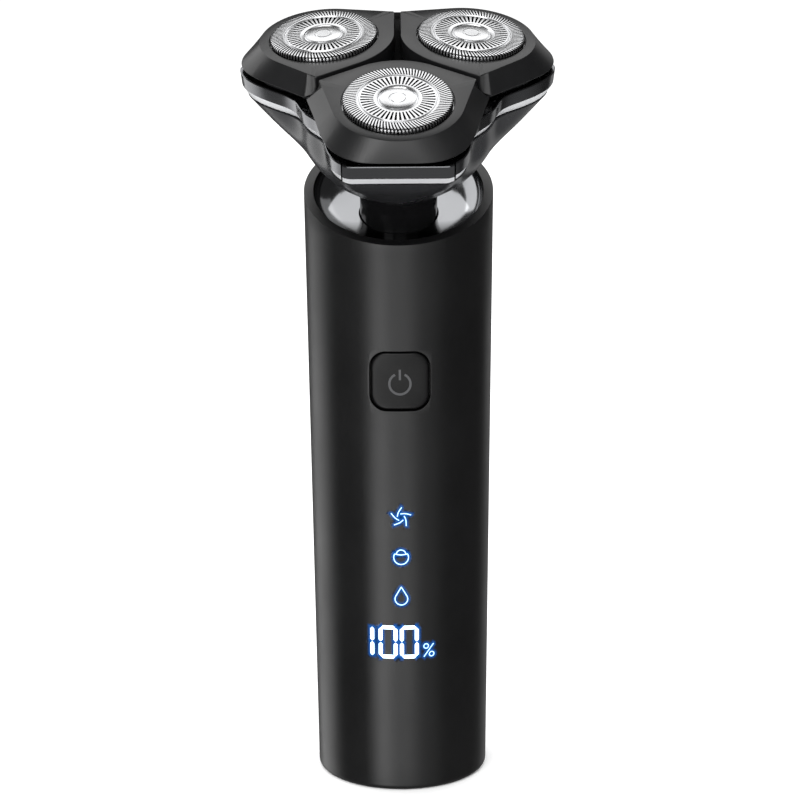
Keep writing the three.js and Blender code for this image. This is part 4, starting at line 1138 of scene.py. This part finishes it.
class SHAVER_OT_guards(bpy.types.Operator):
    """Three round guards with two tracks of slots, the outer one running over the edge"""

    bl_idname = "shaver.guards"
    bl_label = "Guards"

    SECTORS = 48
    WALL = 0.18

    def execute(self, context):
        for side in PETAL_ANGLES:
            place = petal_place(side)
            steel = finish("guard_steel", f"guard_steel_{side}", place)
            cap = finished(self.cap(), f"guard_cap_{side}", steel, f"petal_{side}",
                           [f"guard_{side}"], 28, place)
            # The guard's underside and slot edges take steel darkened as painted shade, so the slots read black.
            cap.data.materials.append(finish("dark_steel"))
        return {"FINISHED"}

    def cap(self):
        pitch = TURN / self.SECTORS
        marks = [0.0, 0.12, 0.25, 0.38, 0.62, 0.75, 0.88, 1.0]
        lean_start, lean_end, lean = INNER_SLOTS[1] + 0.6, 11.0, math.radians(5.5)

        def swept(radius, z):
            turn_on = lean * share_of(radius, lean_start, lean_end)
            return lambda t: (radius * math.cos(t + turn_on), radius * math.sin(t + turn_on), z)

        bm = lofted([swept(r, z) for r, z in GUARD_ROWS], chain=[pitch * m for m in marks],
                    close_section=False)
        holes = []
        for face in bm.faces:
            middle = face.calc_center_median()
            reach = math.hypot(middle.x, middle.y)
            turn_on = lean * share_of(reach, lean_start, lean_end)
            mark = (math.atan2(middle.y, middle.x) - turn_on) % TURN / pitch
            inner = INNER_SLOTS[0] < reach < INNER_SLOTS[1] and marks[2] < mark < marks[5]
            outer = reach > OUTER_SLOTS[0] and middle.z > OUTER_SLOTS[1] and (
                marks[1] < mark < marks[3] or marks[4] < mark < marks[6])
            if inner or outer:
                holes.append(face)
        bmesh.ops.delete(bm, geom=holes, context="FACES")
        bmesh.ops.spin(bm, geom=whole(bm), axis=(0, 0, 1), cent=(0, 0, 0), dvec=(0, 0, 0),
                       angle=TURN - pitch, steps=self.SECTORS - 1, use_duplicate=True)
        bmesh.ops.remove_doubles(bm, verts=bm.verts, dist=2e-3)
        bmesh.ops.recalc_face_normals(bm, faces=bm.faces)
        if sum(face.normal.z * face.calc_area() for face in bm.faces) < 0:
            bmesh.ops.reverse_faces(bm, faces=bm.faces)
        made = as_object(bm, "guard_sheet")
        step = made.modifiers.new("sheet", "SOLIDIFY")
        step.thickness = self.WALL
        step.offset = -1.0
        # Underside and rim of the sheet get the second material, the steel darkened as painted shade.
        step.material_offset = 1
        step.material_offset_rim = 1
        made.data.materials.append(None)
        made.data.materials.append(None)
        return applied(made)


# ---------------------------------------------------------------- inner pieces
class SHAVER_OT_inner_finishes(bpy.types.Operator):
    """Gives every carried-over node the finish of its slot, except the cover frame, which is matte black, and
    the cutters, which take steel darkened as painted shade
    """

    bl_idname = "shaver.inner_finishes"
    bl_label = "Inner Finishes"

    def execute(self, context):
        slots = {part["node"]: part["material_slot"] for part in frame["record"]["subparts"]}
        # Cutters take steel darkened as painted shade, for the shade under the guards.
        special = {"cover_frame": "hidden_black", **{f"cutter_{side}": "dark_steel" for side in PETAL_ANGLES}}
        for name, piece in frame["nodes"].items():
            piece.data.materials.clear()
            piece.data.materials.append(finish(special.get(name, SLOT_FINISHES[slots[name]])))
        return {"FINISHED"}


# ---------------------------------------------------------------- stage
class SHAVER_OT_stage(bpy.types.Operator):
    """Pale floor, white surroundings, softboxes and the camera"""

    bl_idname = "shaver.stage"
    bl_label = "Stage"

    def execute(self, context):
        self.floor()
        self.surroundings(context.scene)
        self.lights()
        self.camera(context.scene)
        context.scene.view_settings.view_transform = "Standard"
        return {"FINISHED"}

    def floor(self):
        """Pale floor that pieces see as a mirror at a low angle, and as grey from above."""
        bm = bmesh.new()
        bmesh.ops.create_grid(bm, x_segments=8, y_segments=8, size=6.0)
        floor = as_object(bm, "floor")
        material = bpy.data.materials.new("pale_floor")
        material.use_nodes = True
        tree = material.node_tree
        shader = tree.nodes["Principled BSDF"]
        where = node(tree, "ShaderNodeTexCoord").outputs["Object"]
        rough = ranged(tree, noise(tree, where, 90.0), 0.3, 0.7, 0.85, 0.95)
        feed(tree, shader, {
            "Base Color": (0.93, 0.93, 0.93, 1), "Roughness": rough, "Specular IOR Level": 0.0,
        })
        mirror = node(tree, "ShaderNodeBsdfGlossy", {"Color": (0.9, 0.9, 0.9, 1), "Roughness": 0.15})
        grey = node(tree, "ShaderNodeEmission", {"Color": (0.24, 0.24, 0.24, 1)})
        facing = node(tree, "ShaderNodeLayerWeight").outputs["Facing"]
        mirrored = node(tree, "ShaderNodeMixShader", {
            "Fac": ranged(tree, facing, 0.3, 0.55, 0.0, 1.0), 1: grey.outputs["Emission"],
            2: mirror.outputs["BSDF"],
        })
        chosen = node(tree, "ShaderNodeMixShader", {
            "Fac": node(tree, "ShaderNodeLightPath").outputs["Is Glossy Ray"], 1: shader.outputs["BSDF"],
            2: mirrored.outputs["Shader"],
        })
        feed(tree, tree.nodes["Material Output"], {"Surface": chosen.outputs["Shader"]})
        floor.data.materials.append(material)

    def surroundings(self, scene):
        """White behind the object, and dim where the pieces mirror it."""
        world = bpy.data.worlds.new("studio")
        scene.world = world
        world.use_nodes = True
        tree = world.node_tree
        mirrored = node(tree, "ShaderNodeLightPath").outputs["Is Glossy Ray"]
        strength = ranged(tree, mirrored, 0.0, 1.0, 1.12, 0.05)
        feed(tree, tree.nodes["Background"], {"Color": (1, 1, 1, 1), "Strength": strength})

    def lights(self):
        power = bpy.context.scene.shaver_stage.key_power
        aim = Vector((0, 0, 0.1))
        boxes = [  # name, azimuth from the front towards the right, elevation, reach, width, height, glow
            ("key_strip", -25, 24, 1.2, 0.46, 1.1, 4.2),
            ("front_strip", 4, 24, 1.2, 0.6, 1.1, 2.2),
            ("side_strip", 34, 24, 1.2, 0.6, 1.1, 0.5),
            ("left_strip", -124, 24, 1.2, 0.9, 1.1, 1.6),
            ("right_strip", 150, 24, 1.2, 0.6, 1.1, 0.4),
            ("top_back", 180, 62, 1.3, 1.3, 0.7, 1.75),
        ]
        for name, azimuth, elevation, reach, width, height, glow in boxes:
            data = bpy.data.lights.new(name, "AREA")
            data.shape = "RECTANGLE"
            data.size, data.size_y = width, height
            data.energy = glow * power * math.pi * width * height
            turn, rise = math.radians(azimuth), math.radians(elevation)
            level = reach * math.cos(rise)
            spot = aim + Vector((level * math.sin(turn), -level * math.cos(turn), reach * math.sin(rise)))
            light = bpy.data.objects.new(name, data)
            bpy.context.scene.collection.objects.link(light)
            light.location = spot
            light.rotation_euler = (aim - spot).to_track_quat("-Z", "Y").to_euler()

    def camera(self, scene):
        stage = scene.shaver_stage
        data = bpy.data.cameras.new("view")
        data.lens, data.sensor_width = stage.lens, 36
        data.clip_start, data.clip_end = 0.01, 50
        view = bpy.data.objects.new("view", data)
        scene.collection.objects.link(view)
        spot = Vector((0, -stage.camera_distance, stage.camera_height)) * MM
        aim = Matrix.Rotation(math.pi / 2 - stage.camera_pitch, 4, "X")
        lean = Matrix.Rotation(stage.camera_roll, 4, "Z")
        view.matrix_world = Matrix.Translation(spot) @ aim @ lean
        scene.camera = view


class SHAVER_PT_builder(bpy.types.Panel):
    """Builder panel in the sidebar"""

    bl_idname = "SHAVER_PT_builder"
    bl_label = "Shaver Builder"
    bl_space_type = "VIEW_3D"
    bl_region_type = "UI"
    bl_category = "Shaver"

    def draw(self, context):
        layout = self.layout
        for group in GROUPS:
            settings = getattr(context.scene, group)
            area = layout.box()
            for name in settings.bl_rna.properties.keys():
                if name not in {"rna_type", "name"}:
                    area.prop(settings, name)
        for step in STEPS:
            layout.operator(step.bl_idname)


GROUPS = {
    "shaver_handle": ShaverHandleSizes,
    "shaver_head": ShaverHeadSizes,
    "shaver_colours": ShaverColours,
    "shaver_stage": ShaverStageSettings,
}
STEPS = [
    SHAVER_OT_inner_finishes,
    SHAVER_OT_handle_shell,
    SHAVER_OT_power_button,
    SHAVER_OT_display,
    SHAVER_OT_neck,
    SHAVER_OT_head_housing,
    SHAVER_OT_head_trim,
    SHAVER_OT_petals,
    SHAVER_OT_guards,
    SHAVER_OT_stage,
]


def register():
    for kind in [*GROUPS.values(), *STEPS, SHAVER_PT_builder]:
        bpy.utils.register_class(kind)
    for name, kind in GROUPS.items():
        setattr(bpy.types.Scene, name, PointerProperty(type=kind))


def unregister():
    for name in GROUPS:
        delattr(bpy.types.Scene, name)
    for kind in reversed([*GROUPS.values(), *STEPS, SHAVER_PT_builder]):
        bpy.utils.unregister_class(kind)


def main():
    register()
    for step in STEPS:
        family, name = step.bl_idname.split(".")
        getattr(getattr(bpy.ops, family), name)()


if __name__ == "__main__":
    main()
